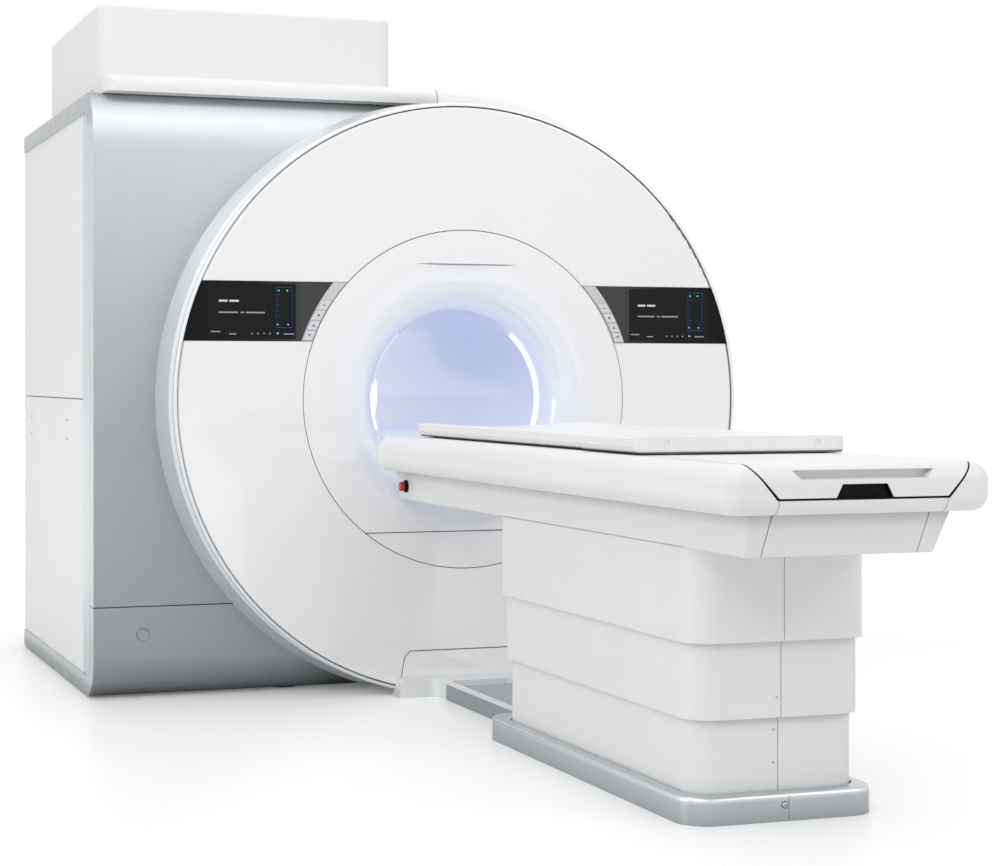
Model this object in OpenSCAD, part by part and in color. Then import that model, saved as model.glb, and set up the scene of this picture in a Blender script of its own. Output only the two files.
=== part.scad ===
// Combined MR and PET scanner: the gantry with its round front disc, and the patient table docked to it.
// X runs across the bore, +Y from the patient table towards the back of the gantry, +Z up.
// The origin is on the floor, straight below the isocentre.

/* [Gantry layout] */
// Height of the bore axis above the floor
iso_h = 1010; // [990:1:1040]
// From the isocentre forward to the face of the front disc
face_d = 960; // [920:1:1040]
// From the isocentre back to the back of the rear cover
back_d = 953; // [900:1:1000]
// How far the silver front stands behind the face of the disc
front_set = 204; // [180:1:240]

/* [Bore and funnel] */
// Radius of the patient bore
bore_r = 300; // [296:1:310]
// Wall of the bore tube
bore_wall = 5; // [4:0.5:8]
// Width of the lit step between the bore and the funnel
light_w = 12; // [8:1:20]
// Radius of the funnel's flare, front
flare_r = 135; // [110:1:160]
// Radius of the inner disc that holds the funnel
inner_r = 583; // [560:1:600]
// Wall of the moulded plastic panels
panel_t = 10; // [8:1:14]
// Height of the brow line above the bore axis
brow_up = 466; // [440:1:490]
// Half the width of the brow line
brow_half = 186; // [150:1:210]
// Depth of the scoop under the brow
brow_depth = 7; // [4:1:7]
// How far below the bore axis the lower funnel panel starts
lower_seam = 455; // [440:1:480]
// Radius of the opening in the rear cover
rear_open_r = 430; // [400:1:500]
// How far the rear funnel stands out of the rear cover
rear_out = 226; // [150:1:260]
// Radius of the funnel's flare, rear
rear_flare_r = 80; // [60:1:100]
// Rounding of the rear funnel's outer edge
rear_edge = 24; // [12:1:40]
// Height of the bed bridge in the bore, below the bore axis
bridge_down = 117.3; // [110:0.1:125]
// Thickness of the bed bridge's deck
bridge_t = 14; // [10:1:20]

/* [Front disc] */
// Outer radius of the white face panels
face_r = 1009; // [1000:1:1030]
// Outer radius of the front lip of the silver ring
ring_r = 1023; // [1015:1:1040]
// Outer radius of the silver ring where it meets the cabinet
ring_back_r = 1044; // [1040:1:1060]
// Depth of the front lip of the ring
lip_d = 18; // [12:1:30]
// Depth at which the groove behind the lip ends
groove_end = 88; // [60:1:110]
// Depth of that groove, measured inwards
groove_in = 12; // [6:1:16]
// Wall of the silver ring
ring_wall = 9; // [6:1:12]
// Edge rounding of the face panels
face_round = 9; // [9:0.1:9.5]
// Height at which the disc is cut off above the floor
disc_clear = 14; // [10:1:40]
// Half the width of the dock cover at its top edge
dock_top_half = 204; // [180:1:240]
// Half the width of the dock cover at its foot
dock_foot_half = 258; // [245:1:290]
// Height of the top edge of the dock cover
dock_top_h = 147; // [120:1:180]

/* [Screens and keys] */
// Height of the screens' top edge above the bore axis
screen_top = 396; // [380:1:420]
// Height of the screens' lower edge above the bore axis
screen_low = 197; // [180:1:220]
// Inner radius of the screens
screen_in_r = 622; // [610:1:640]
// Number of keys on each keypad
key_n = 4; // [3:1:4]
// Height of one key
key_h = 33; // [28:1:36]
// How far a key stands out of its keypad
key_proud = 3; // [2:0.5:5]
// Travel of a key
key_travel = 1.5; // [1:0.1:2]

/* [Cabinet] */
// From the bore axis to the left side of the cabinet
cab_left = 1253; // [1200:1:1300]
// Height of the silver front's top above the bore axis
cab_h = 1042; // [1030:1:1060]
// Height of the cabinet's lower edge above the floor
cab_clear = 6; // [4:1:12]
// Radius of the silver front's curve at the top
wrap_top_r = 227; // [200:1:260]
// Height of that curve
wrap_top_h = 192; // [150:1:195]
// Radius of the silver front's curve at the foot
wrap_foot_r = 135; // [125:1:160]
// Height of that curve
wrap_foot_h = 129; // [100:1:134]
// Width of the silver band seen from the side
band_w = 62; // [40:1:80]
// Thickness of the silver sheet
sheet_t = 6; // [4:0.5:10]
// Height of the seam between the two silver fronts
front_seam_h = 312; // [280:1:360]
// Height of the seam between the two side panels
side_seam_h = 1010; // [900:1:1100]
// Width of the silver sheet's upright return beside the side panels
edge_w = 100; // [70:1:130]
// Depth of the corner strip beside the side panels
strip_d = 136; // [100:1:200]
// Radius of the top and right covers about the bore axis
cover_r = 1108; // [1095:1:1130]
// Height of the top cover above the silver front
lid_h = 66; // [50:1:90]
// How far the top cover's front stands behind the face of the disc
cover_set = 270; // [230:1:300]
// Rounding of the covers' front edge
cover_round = 42; // [20:1:55]
// Where the top cover is split, left of the bore axis
top_split = 18; // [0:1:100]
// From the bore axis to the inner edge of the right side cover
side_in = 620; // [580:1:700]
// Radius of the service plug in the lower silver front
plug_r = 22; // [15:1:40]
// From the bore axis to the service plug
plug_left = 1085; // [1050:1:1150]
// Height of the service plug
plug_h = 217; // [180:1:240]
// Rounding of the rear cover's upright corners
rear_round = 60; // [30:1:80]
// Depth of the rear cover's side returns
rear_return = 75; // [65:1:120]

/* [Service turret] */
// From the bore axis to the left side of the turret cover
turret_left = 1207; // [1150:1:1215]
// Width of the turret cover
turret_w = 1052; // [900:1:1100]
// How far the turret cover's front stands behind the face of the disc
turret_set = 376; // [350:1:450]
// Depth of the turret cover
turret_d = 1085; // [900:1:1200]
// Height of the turret cover's top above the silver front
turret_top = 318; // [290:1:400]
// Rounding of the turret cover's upright corners
turret_round = 52; // [30:1:70]
// Rounding of the turret cover's top edge
turret_edge = 14; // [6:1:25]

/* [Magnet and coils] */
// Outer radius of the magnet's vacuum vessel
vessel_r = 900; // [860:1:940]
// Inner radius of the vacuum vessel
vessel_in_r = 455; // [448:1:470]
// Length of the vacuum vessel
vessel_len = 1420; // [1300:1:1500]
// Dishing of the vessel's end plates
vessel_dish = 40; // [20:1:60]
// Outer radius of the gradient coil
gradient_r = 440; // [430:1:446]
// Inner radius of the gradient coil
gradient_in_r = 372; // [368:1:380]
// Length of the gradient coil
gradient_len = 1300; // [1200:1:1400]
// Outer radius of the detector ring
detector_r = 364; // [360:1:367]
// Inner radius of the detector ring
detector_in_r = 336; // [332:1:345]
// Number of detector modules round the ring
detector_n = 28; // [20:1:36]
// Length of the detector ring
detector_len = 320; // [250:1:400]
// Outer radius of the body coil
coil_r = 318; // [312:1:330]
// Length of the body coil
coil_len = 560; // [450:1:700]
// Radius of the service neck on the vessel
neck_r = 210; // [150:1:260]
// Height of the service neck above the silver front
neck_up = 86; // [60:1:100]
// Radius of the cold head's cylinder
head_r = 75; // [60:1:90]
// Height of the cold head above the service neck
head_h = 130; // [100:1:150]
// Radius of the cold head's motor
motor_r = 42; // [30:1:50]
// Length of the cold head's motor
motor_len = 190; // [150:1:240]
// From the silver front to the first cross beam of the frame
frame_in = 106; // [70:1:140]

/* [Floor] */
// Height of the floor dock
dock_h = 60; // [50:1:70]
// Depth of the floor dock's cross bar
dock_bar_d = 74; // [50:1:100]
// Half the width of the floor dock's rail
dock_rail_half = 130; // [110:1:150]
// Width of the rim round the floor dock's recess
dock_rim = 22; // [15:1:30]
// Depth of the floor dock's recess
dock_recess = 22; // [10:1:35]
// Fillet between cross bar and rail
dock_fillet = 34; // [20:1:50]

/* [Table column] */
// Half the width of the upper column cover
col_half = 249; // [235:1:250]
// Length of the upper column cover
col_len = 1397; // [1300:1:1450]
// From the foot end of the table top to the column
col_foot_in = 400; // [380:1:430]
// Rounding of the column's corners
col_round = 82; // [60:1:90]
// Wall of the column covers
col_wall = 5; // [4:0.5:6]
// How much smaller each lower column cover is at its sides
col_step_side = 10.5; // [9:0.5:12]
// How much smaller each lower column cover is at its ends
col_step_end = 18; // [12:1:24]
// Height of the seam below the middle column cover
mid_low = 250; // [249:1:256]
// Height of the seam below the upper column cover
upper_low = 439; // [437:1:445]
// How far the table travels down
lift_travel = 350; // [300:1:352]
// Height of the table's base
base_h = 69; // [60:1:70]
// Width of the base beside the column
base_side = 36; // [30:1:50]
// Length of the base beyond the column at the foot end
base_foot = 46; // [35:1:60]
// Length of the base beyond the column at the head end
base_head = 85; // [60:1:85]
// Rounding of the base's upper edge
base_edge = 11; // [6:1:14]
// Radius of the levelling screw at the base's foot end
screw_r = 8; // [6:0.5:9]
// Place of the levelling screw along X
screw_x = -4; // [-20:1:-4]
// Height of the levelling screw
screw_z = 40; // [30:1:42]
// Place of the joint in the base's foot end along X
joint_x = 6; // [6:1:30]
// Gap between the base and the column cover that stands in it
base_gap = 6; // [4:1:14]
// Depth of the pocket that the column stands in
base_pocket = 14; // [8:1:20]
// Half the width of the fixed lift tube
tube_half = 90; // [80:1:110]
// Wall of the lift tubes
tube_wall = 8; // [6:1:10]
// Distance between the two lift tubes
tube_apart = 800; // [700:1:900]

/* [Table top] */
// Height of the underside of the tray
tray_low = 671; // [668:1:680]
// Height of the tray
tray_h = 102; // [95:1:110]
// Half the width of the tray at its top
tray_top_half = 259; // [255:1:262]
// Half the width of the tray at its underside
tray_low_half = 249; // [249:1:252]
// How far the tray's foot end leans out from bottom to top
tray_lean = 60; // [40:1:80]
// From the foot end of the table top to the top of the tray's end
tray_foot_in = 62; // [50:1:90]
// Gap between the tray's head end and the disc
tray_head_gap = 16; // [12:1:40]
// Wall of the tray and the table body
table_wall = 7; // [5:1:9]
// Rounding of the tray's lower edges
tray_edge = 5; // [3:1:14]
// Half the width of the panel at the tray's foot end
tray_panel_half = 205; // [180:1:215]
// Half the width of the table top
body_half = 351; // [345:1:360]
// Thickness of the table top
body_h = 117; // [112:1:125]
// Rounding of the table top's upper edge
body_round_top = 46; // [35:1:50]
// Rounding of the table top's lower edge
body_round_low = 40; // [30:1:45]
// Rounding of the table top's foot corners in plan
body_corner = 60; // [54:1:75]
// Length of the table top
body_len = 2663; // [2600:1:2700]
// Gap between the table top's head end and the disc
body_head_gap = 105; // [90:1:130]
// Half the width of the deck between the bolsters
deck_half = 294; // [288:1:303]
// Half the width of the end cap where its outline bends most
cap_shoulder = 276; // [265:1:285]
// Half the width of the end cap at its lower edge
cap_low_half = 223; // [215:1:240]
// Height of the end cap's lower edge above the underside of the table top
cap_low = 34; // [28:1:40]
// Length of the deck cover that ends in the end cap
cap_len = 660; // [640:1:700]
// Half the width of the grip slot
grip_half = 183; // [150:1:200]
// Height of the grip slot
grip_h = 22; // [18:1:26]
// Depth of the grip slot
grip_deep = 34; // [25:1:45]
// How much the floor of the grip slot rises towards the back
grip_rise = 4; // [0:1:8]
// Half the width of the release recess at its top
recess_half = 58; // [45:1:70]
// Height of the release recess
recess_h = 36; // [30:1:40]
// Depth of the release recess
recess_deep = 48; // [40:1:60]
// Radius of the release lever's pivot
pivot_r = 4; // [3:0.5:5]
// Diameter of the emergency stop button
stop_d = 32; // [28:1:40]
// How far the emergency stop stands out of its collar
stop_proud = 18; // [14:1:24]
// Radius of the emergency stop's stem
stop_stem_r = 7; // [5:0.5:9]
// Height of the emergency stop's collar
stop_collar_h = 8; // [6:1:10]
// Travel of the emergency stop
stop_travel = 3; // [2:0.5:4]
// From the disc's face to the emergency stop
stop_from_face = 122; // [110:1:200]
// Height of the emergency stop above the tray's underside
stop_up = 48; // [40:1:60]

/* [Cradle] */
// Half the width of the cradle's foot end
cradle_half = 301; // [298:1:305]
// Half the width of the cradle's body at its top
cradle_slim_half = 284; // [276:1:285]
// Thickness of the cradle
cradle_t = 42; // [38:1:44]
// Length of the cradle
cradle_len = 1814; // [1780:1:1850]
// Length of the cradle's wide foot end
cradle_foot_len = 372; // [340:1:400]
// From the disc's face to the cradle's head end
cradle_head_gap = 330; // [300:1:400]
// Rounding of the cradle's corners in plan
cradle_corner = 36; // [20:1:45]
// Depth of the dish in the cradle's top
cradle_dish = 12; // [6:1:16]
// Width of the cradle's rails
rail_w = 34; // [25:1:45]
// Distance of each rail from the middle
rail_x = 180; // [150:1:200]

/* [Clearances] */
// Gap at seams between fixed panels
seam = 3; // [2:0.5:4]
// Gap between a sliding or turning part and its seat
run_gap = 0.3; // [0.2:0.05:0.5]
// Gap round the end cap and deck cover
cap_gap = 5; // [3:0.5:7]
// Gap round a key
key_gap = 0.4; // [0.3:0.1:1]

/* [Hidden] */
$fn = 96;

// Long enough to cut right through anything.
far = 6000;
// Small overlap that makes a cut clean.
eps = 1;

// Planes of the gantry along Y.
face_y = -face_d;
front_y = face_y + front_set;
cover_y = face_y + cover_set;
back_y = back_d;
throat_y = face_y + flare_r;
rear_rim_y = back_y + rear_out;
rear_throat_y = rear_rim_y - rear_flare_r;
side_back_y = back_y - rear_return;
strip_y = front_y + edge_w;
panel_y = strip_y + strip_d;
side_x = cab_left - sheet_t;
carrier_t = 8;
key_floor_y = face_y + panel_t - 2;

// Heights of the gantry.
cab_top = iso_h + cab_h;
lid_top = cab_top + lid_h;
lid_low = cab_top + 5;
side_top = cab_top - 30;
side_low = cab_clear + 30;
neck_top = cab_top + neck_up;
frame_h = 60;

// Place of the turret, whose cover stands in the corner that the top cover leaves free.
turret_y = face_y + turret_set;
turret_right_x = turret_w - turret_left;
neck_x = turret_w / 2 - turret_left;
neck_y = turret_y + turret_d / 2;

// Table positions along Y, from the disc outwards.
body_head_y = face_y - body_head_gap;
body_foot_y = body_head_y - body_len;
tray_head_y = face_y - tray_head_gap;
tray_top_y = body_foot_y + tray_foot_in;
tray_low_y = tray_top_y + tray_lean;
col_foot_y = body_foot_y + col_foot_in;
col_head_y = col_foot_y + col_len;
base_foot_y = col_foot_y + 2 * col_step_end - base_foot;
base_head_y = col_head_y - 2 * col_step_end + base_head;
base_half = col_half - 2 * col_step_side + base_side;
col_mid_y = (col_foot_y + col_head_y) / 2;

// Table heights.
body_low = tray_low + tray_h;
body_top = body_low + body_h;
bed_z = body_top + 3;
lower_top = mid_low + 50;
mid_top = upper_low + 51;
pocket_z = base_h - base_pocket;
tube_len = tray_low - lift_travel - pocket_z - 6;
screw_sink = 8;

// Cradle.
cradle_head_y = face_y - cradle_head_gap;
cradle_foot_y = cradle_head_y - cradle_len;
cradle_side_slope = 5;
cradle_under_round = 16;

// Keypad and screen shapes.
strip_in_r = inner_r + 2;
strip_out_r = screen_in_r - 1;
key_first = screen_low + 3;
key_pitch = key_h + 1;

// Places a shape that was drawn round the Z axis so that it lies round the bore axis, from plane y0 back.
module on_bore_axis(y0) {
  translate([0, y0, iso_h]) rotate([-90, 0, 0]) children();
}

// Turns a section (radius, depth) round the bore axis.
module bore_revolve(y0) {
  on_bore_axis(y0) rotate_extrude($fn = 180) children();
}

// Solid cylinder on the bore axis.
module bore_plug(r, y0, y1) {
  on_bore_axis(y0) cylinder(r = r, h = y1 - y0, $fn = 180);
}

// Extrudes a section drawn in (y, z) along X from x0 to x1.
module along_x(x0, x1) {
  translate([x0, 0, 0]) rotate([90, 0, 90]) linear_extrude(x1 - x0) children();
}

// Extrudes a section drawn in (x, z) along Y from y0 to y1.
module along_y(y0, y1) {
  translate([0, y1, 0]) rotate([90, 0, 0]) linear_extrude(y1 - y0) children();
}

// Box given by its two corners.
module block(a, b) {
  translate(a) cube(b - a);
}

// What is to be removed outside a quarter circle of radius r centred on the origin, in the quadrant +x +y.
module corner_waste(r) {
  difference() {
    square([r + eps, r + eps]);
    circle(r = r);
  }
}

// Rectangle w by h standing on y = 0, with its lower and upper corners rounded.
module round_rect(w, h, r_low, r_top) {
  difference() {
    translate([-w / 2, 0]) square([w, h]);
    for (s = [-1, 1]) on_side(s) {
      translate([w / 2 - r_low, r_low]) mirror([0, 1]) corner_waste(r_low);
      translate([w / 2 - r_top, h - r_top]) corner_waste(r_top);
    }
  }
}

// Leaves a shape on the right side, or mirrors it to the left where s is -1.
module on_side(s) {
  if (s < 0) mirror([1, 0, 0]) children();
  else children();
}

// Rectangle w by d with four rounded corners, centred.
module plan(w, d, r) {
  translate([0, -d / 2]) round_rect(w, d, r, r);
}

// Upright wall section from 0 to reach, rounded at its outer lower and upper corners.
module edge_section(reach, h, r_low, r_top) {
  difference() {
    square([reach, h]);
    if (r_low > 0) translate([reach - r_low, r_low]) mirror([0, 1]) corner_waste(r_low);
    if (r_top > 0) translate([reach - r_top, h - r_top]) corner_waste(r_top);
  }
}

// Slab w by d by h with corners of radius rc in plan and a rounded upper edge.
module soft_slab(w, d, h, rc, r_top) {
  block([-w / 2 + rc, -d / 2 + rc, 0], [w / 2 - rc, d / 2 - rc, h]);
  for (s = [-1, 1]) {
    on_side(s) translate([w / 2 - rc, d / 2 - rc, 0]) rotate([90, 0, 0])
      linear_extrude(d - 2 * rc) edge_section(rc, h, 0, r_top);
    mirror([0, s < 0 ? 1 : 0, 0]) translate([-w / 2 + rc, d / 2 - rc, 0]) rotate([90, 0, 90])
      linear_extrude(w - 2 * rc) edge_section(rc, h, 0, r_top);
    for (t = [-1, 1]) on_side(s) mirror([0, t < 0 ? 1 : 0, 0])
      translate([w / 2 - rc, d / 2 - rc, 0]) rotate_extrude(angle = 90) edge_section(rc, h, 0, r_top);
  }
}

// Everything nearer the floor than the lower edge of the disc.
module disc_floor_cut() {
  block([-far, -far, -far], [far, far, disc_clear]);
}

// Dock cover outline (x, z), grown all round by g.
module dock_outline(g) {
  polygon([[-dock_foot_half - g, -far / 100], [dock_foot_half + g, -far / 100],
    [dock_top_half + 20 + g, dock_top_h - 20 + g / 2], [dock_top_half + g / 2, dock_top_h + g],
    [-dock_top_half - g / 2, dock_top_h + g], [-dock_top_half - 20 - g, dock_top_h - 20 + g / 2]]);
}

// Welded steel frame under the magnet: two skids, three cross beams, four saddles and seven pads.
module base_frame() {
  skid_x = 560;
  beam_w = 120;
  pad_r = 55;
  pad_h = 12;
  saddle_t = 60;
  saddle_half = 200;
  beam_y = face_d - front_set - frame_in - beam_w / 2;
  beam_end_in = 140;
  color("dimgray") difference() {
    union() {
      for (x = [-skid_x, skid_x])
        block([x - beam_w / 2, -beam_y, pad_h], [x + beam_w / 2, beam_y, pad_h + frame_h]);
      for (y = [-beam_y, 0, beam_y])
        block([beam_end_in - cab_left, y - beam_w / 2, pad_h],
          [cover_r - beam_end_in, y + beam_w / 2, pad_h + frame_h]);
      for (x = [-skid_x, skid_x], y = [-beam_y / 2, beam_y / 2])
        block([x - saddle_half, y - saddle_t / 2, pad_h],
          [x + saddle_half, y + saddle_t / 2, iso_h - vessel_r / 2]);
      for (x = [-skid_x, skid_x], y = [-beam_y, 0, beam_y])
        translate([x, y, 0]) cylinder(r = pad_r, h = pad_h + eps);
      cylinder(r = pad_r, h = pad_h + eps);
    }
    bore_plug(vessel_r + run_gap, -vessel_len, vessel_len);
  }
}

// Vacuum vessel with dished ends, a warm bore and the service neck that carries the cold head.
module magnet_vessel() {
  half = vessel_len / 2;
  dish_w = 120;
  flat_r = vessel_r - dish_w;
  color("gainsboro") difference() {
    union() {
      bore_revolve(0) polygon([[vessel_in_r, -half], [flat_r, -half], [vessel_r, vessel_dish - half],
        [vessel_r, half - vessel_dish], [flat_r, half], [vessel_in_r, half]]);
      translate([neck_x, neck_y, iso_h]) cylinder(r = neck_r, h = neck_top - iso_h);
    }
    bore_plug(vessel_in_r, -vessel_len, vessel_len);
  }
}

// Gradient coil, held in the warm bore by wedges at both ends.
module gradient_coil() {
  half = gradient_len / 2;
  wedge_n = 8;
  color("saddlebrown") {
    bore_revolve(-half) translate([gradient_in_r, 0]) square([gradient_r - gradient_in_r, gradient_len]);
    for (i = [0 : wedge_n - 1], y = [-half + 20, half - 60]) intersection() {
      on_bore_axis(y) rotate([0, 0, (i + 0.5) * 360 / wedge_n])
        translate([gradient_r - 6, -30, 0]) cube([40, 60, 40]);
      bore_plug(vessel_in_r - run_gap, y - eps, y + 41);
    }
  }
}

// Detector ring: flat-faced modules side by side on a carrier tube inside the gradient coil.
module detector_ring() {
  half = detector_len / 2;
  step = 360 / detector_n;
  module_w = 2 * detector_in_r * tan(step / 2) - 3;
  color("teal") {
    bore_revolve(-half) square_between(detector_r - 6, 0, gradient_in_r - run_gap, detector_len);
    for (i = [0 : detector_n - 1]) on_bore_axis(-half + 10) rotate([0, 0, i * step])
      block([detector_in_r, -module_w / 2, 0], [detector_r - 3, module_w / 2, detector_len - 20]);
  }
}

// Body coil: a birdcage of two end rings and sixteen rungs on the bore tube.
module body_coil() {
  half = coil_len / 2;
  rung_n = 16;
  rung_w = 36;
  ring_len = 40;
  r0 = bore_r + bore_wall + run_gap;
  t = coil_r - r0;
  color("peru") {
    for (y = [-half, half - ring_len]) bore_revolve(y) translate([r0, 0]) square([t, ring_len]);
    for (i = [0 : rung_n - 1]) intersection() {
      on_bore_axis(-half) rotate([0, 0, i * 360 / rung_n])
        translate([r0 - 2, -rung_w / 2, 0]) cube([t + 4, rung_w, coil_len]);
      bore_revolve(-half) translate([r0, 0]) square([t, coil_len]);
    }
  }
}

// Bore tube between the two funnels, with a flange at each end and collars that bear on the gradient coil.
module bore_tube() {
  y0 = throat_y + 6;
  len = rear_throat_y - 6 - y0;
  collar = 30;
  flange = 6;
  coil_d = -gradient_len / 2 - y0;
  color("aliceblue") bore_revolve(y0) {
    translate([bore_r, 0]) square([bore_wall, len]);
    for (d = [coil_d - collar, coil_d + gradient_len])
      translate([bore_r, d]) square([gradient_in_r + collar - bore_r, collar]);
    for (d = [0, len - flange]) translate([bore_r, d]) square([light_w + 12, flange]);
  }
}

// Bridge in the bore that carries the cradle: a flat deck on two ribs that follow the bore.
module bore_bridge() {
  y0 = throat_y + 10;
  y1 = rear_throat_y - 10;
  z1 = iso_h - bridge_down;
  rib_w = 16;
  color("white") intersection() {
    bore_plug(bore_r - run_gap, y0, y1);
    union() {
      block([-far, y0, z1 - bridge_t], [far, y1, z1]);
      for (s = [-1, 1]) block([s * rail_x - rib_w, y0, iso_h - far], [s * rail_x + rib_w, y1, z1]);
    }
  }
}

// Cold head: flange, two-stage cylinder housing and the drive motor beside it.
module cold_head() {
  color("silver") translate([neck_x, neck_y, neck_top]) {
    cylinder(r = neck_r - 10, h = 22);
    cylinder(r = head_r, h = head_h);
    translate([0, 0, head_h / 2]) rotate([0, 90, 0]) cylinder(r = motor_r, h = motor_len);
    for (i = [0 : 7]) rotate([0, 0, i * 45]) translate([neck_r - 34, 0, 0]) cylinder(r = 11, h = 34);
  }
}

// Cover over the service turret: a soft-edged box, open below.
module turret_cover() {
  h = turret_top - run_gap;
  t = panel_t - 2;
  color("white") translate([neck_x, neck_y, cab_top + run_gap]) difference() {
    soft_slab(turret_w, turret_d, h, turret_round, turret_edge);
    translate([0, 0, -eps]) linear_extrude(h - t + eps)
      plan(turret_w - 2 * t, turret_d - 2 * t, turret_round - t);
  }
}

// Section (y, z) of the silver wrap, set in from its outer surface by t.
module wrap_section(t) {
  y0 = front_y + t;
  top_z = cab_top - t;
  low_z = cab_clear + t;
  top_c = cab_top - wrap_top_h;
  low_c = cab_clear + wrap_foot_h;
  intersection() {
    translate([y0, low_z]) square([far, top_z - low_z]);
    union() {
      translate([y0, low_c]) square([far, top_c - low_c]);
      translate([front_y + wrap_top_r, top_c]) circle(r = wrap_top_r - t, $fn = 180);
      translate([front_y + wrap_top_r, top_c - eps]) square([far, far]);
      translate([front_y + wrap_foot_r, low_c]) circle(r = wrap_foot_r - t, $fn = 180);
      translate([front_y + wrap_foot_r, low_c + eps - far]) square([far, far]);
    }
  }
}

// Silver sheet between x0 and x1 with the limbs ending at y_top and y_low; a side that is closed
// has a return of sheet along its edge, behind which the white side panels sit.
module wrap(x0, x1, y_top, y_low, close_right) {
  difference() {
    along_x(x0, x1) wrap_section(0);
    along_x(x0 + sheet_t, x1 + (close_right ? -sheet_t : eps)) wrap_section(sheet_t);
    along_x(x0 - eps, x1 + eps) translate([edge_w - band_w, 0]) wrap_section(band_w);
    block([-far, y_top, iso_h], [far, far, far]);
    block([-far, y_low, -eps], [far, far, iso_h + eps]);
    bore_plug(ring_back_r - 64, front_y - eps, strip_y);
  }
}

// Silver front above the seam, with the band that runs back along the top.
module front_upper_shell() {
  color("silver") difference() {
    wrap(-cab_left, -eps, side_back_y, side_back_y, false);
    block([-far, -far, -eps], [far, far, front_seam_h + seam / 2]);
    translate([neck_x, neck_y, iso_h]) cylinder(r = neck_r + 20, h = far);
  }
}

// Silver front below the seam, with the band that runs back along the foot on both sides.
module front_lower_shell() {
  color("silver") difference() {
    wrap(-cab_left, cover_r + sheet_t, side_back_y, side_back_y, true);
    block([-far, -far, front_seam_h - seam / 2], [far, far, far]);
    translate([-plug_left, front_y - eps, plug_h]) rotate([-90, 0, 0]) cylinder(r = plug_r + 1, h = 40);
    block([band_w - cab_left, strip_y, -eps], [cover_r - band_w, far, cab_clear + 2 * sheet_t]);
  }
}

// Round plug that closes the jacking hole in the lower silver front.
module service_plug() {
  color("silver") translate([-plug_left, front_y, plug_h]) rotate([-90, 0, 0]) {
    difference() {
      cylinder(r = plug_r, h = 14);
      translate([0, 0, -eps]) cylinder(r = plug_r - 4, h = 2 + eps);
    }
    translate([0, 0, sheet_t]) cylinder(r = plug_r + 6, h = 5);
  }
}

// White side panel of the left side between heights z0 and z1, with its front edge bent inwards.
module left_panel(z0, z1) {
  block([-side_x, panel_y, z0], [panel_t - side_x, side_back_y, z1]);
  block([panel_t - side_x, panel_y, z0], [panel_t - side_x + 40, panel_y + panel_t, z1]);
}
module left_upper_panel() {
  color("white") left_panel(side_seam_h + seam / 2, side_top);
}

// Lower side panel with two pairs of blind slots for the lifting hooks near its top.
module left_lower_panel() {
  slot_len = 46;
  slot_h = 9;
  slot_deep = panel_t / 2;
  slot_down = [84, 152];
  from_back = 190;
  from_front = 330;
  color("white") difference() {
    left_panel(side_low, side_seam_h - seam / 2);
    for (y = [side_back_y - from_back, panel_y + from_front], d = slot_down)
      block([-far, y, side_seam_h - d], [slot_deep - side_x, y + slot_len, side_seam_h - d + slot_h]);
  }
}

// Corner strip between the side panels and the silver return: it slants in towards the front.
module corner_strip() {
  slant = 12;
  leg = 34;
  ease = 60;
  run_out = 100;
  y1 = panel_y - seam;
  color("lightsteelblue") translate([-side_x, 0, side_low]) linear_extrude(side_top - side_low)
    polygon([[slant, strip_y - 6], [slant, strip_y + 4], [4, strip_y + ease], [0, strip_y + run_out], [0, y1],
      [panel_t, y1], [panel_t + 2, panel_y], [leg, panel_y], [leg, panel_y - 6], [panel_t + 4, y1 - 6],
      [panel_t + 4, strip_y + ease], [slant + 8, strip_y + 6], [slant + 8, strip_y - 6]]);
}

// Section (reach, depth) of the top and right covers: lip at the silver ring, front wall, outer wall.
module cover_section(in_r) {
  t = panel_t;
  square_between(in_r, front_y - cover_y, in_r + t, t);
  difference() {
    translate([in_r, 0]) turned_edge(cover_r - in_r, side_back_y - cover_y, cover_round);
    translate([in_r - eps, t]) turned_edge(cover_r - in_r - t + eps, far, cover_round - t);
  }
}
module turned_edge(w, h, r) {
  difference() {
    square([w, h]);
    translate([w - r, r]) mirror([0, 1]) corner_waste(r);
  }
}

// Turns a section (reach, depth) so that reach points up from the bore axis, and extrudes it along X.
module cover_along_x(x0, x1) {
  translate([x0, 0, iso_h]) rotate([90, 0, 90]) linear_extrude(x1 - x0) translate([cover_y, 0])
    mirror([1, 0]) rotate(90) children();
}

// Plan (x, y) of the left top cover, shrunk by g: a strip along the front and one beside the turret.
module lid_plan(g) {
  x0 = g - turret_left;
  x1 = (g > 0 ? eps : 0) - top_split - seam / 2;
  x_turret = turret_right_x + seam + g;
  y_turret = turret_y - seam - g;
  y_front = cover_y + g;
  y_back = side_back_y + (g > 0 ? eps : 0);
  difference() {
    polygon([[x0, y_front], [x1, y_front], [x1, y_back], [x_turret, y_back],
      [x_turret, y_turret], [x0, y_turret]]);
    translate([x0 + turret_round - g, y_front + turret_round - g])
      rotate(180) corner_waste(turret_round - g);
  }
}

// Top cover, left part: lies on the silver sheet, with a flange that closes it over the sheet's curve.
module top_cover_left() {
  t = panel_t;
  flange = 60;
  color("white") difference() {
    lid_form(0);
    difference() {
      lid_form(t);
      block([-far, -far, 0], [far, cover_y + flange, lid_low + t / 2]);
    }
    block([-far, -far, 0], [far, cover_y + flange / 2, lid_low]);
    bore_plug(ring_back_r + 2, cover_y - eps, cover_y + t + eps);
  }
}
module lid_form(g) {
  z0 = cab_top + (g > 0 ? 0 : run_gap);
  intersection() {
    cover_along_x(-cab_left, 0) translate([0, g]) turned_edge(cab_h + lid_h - g, far, cover_round - g);
    translate([0, 0, z0]) linear_extrude(2 * lid_h) lid_plan(g);
  }
}

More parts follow.
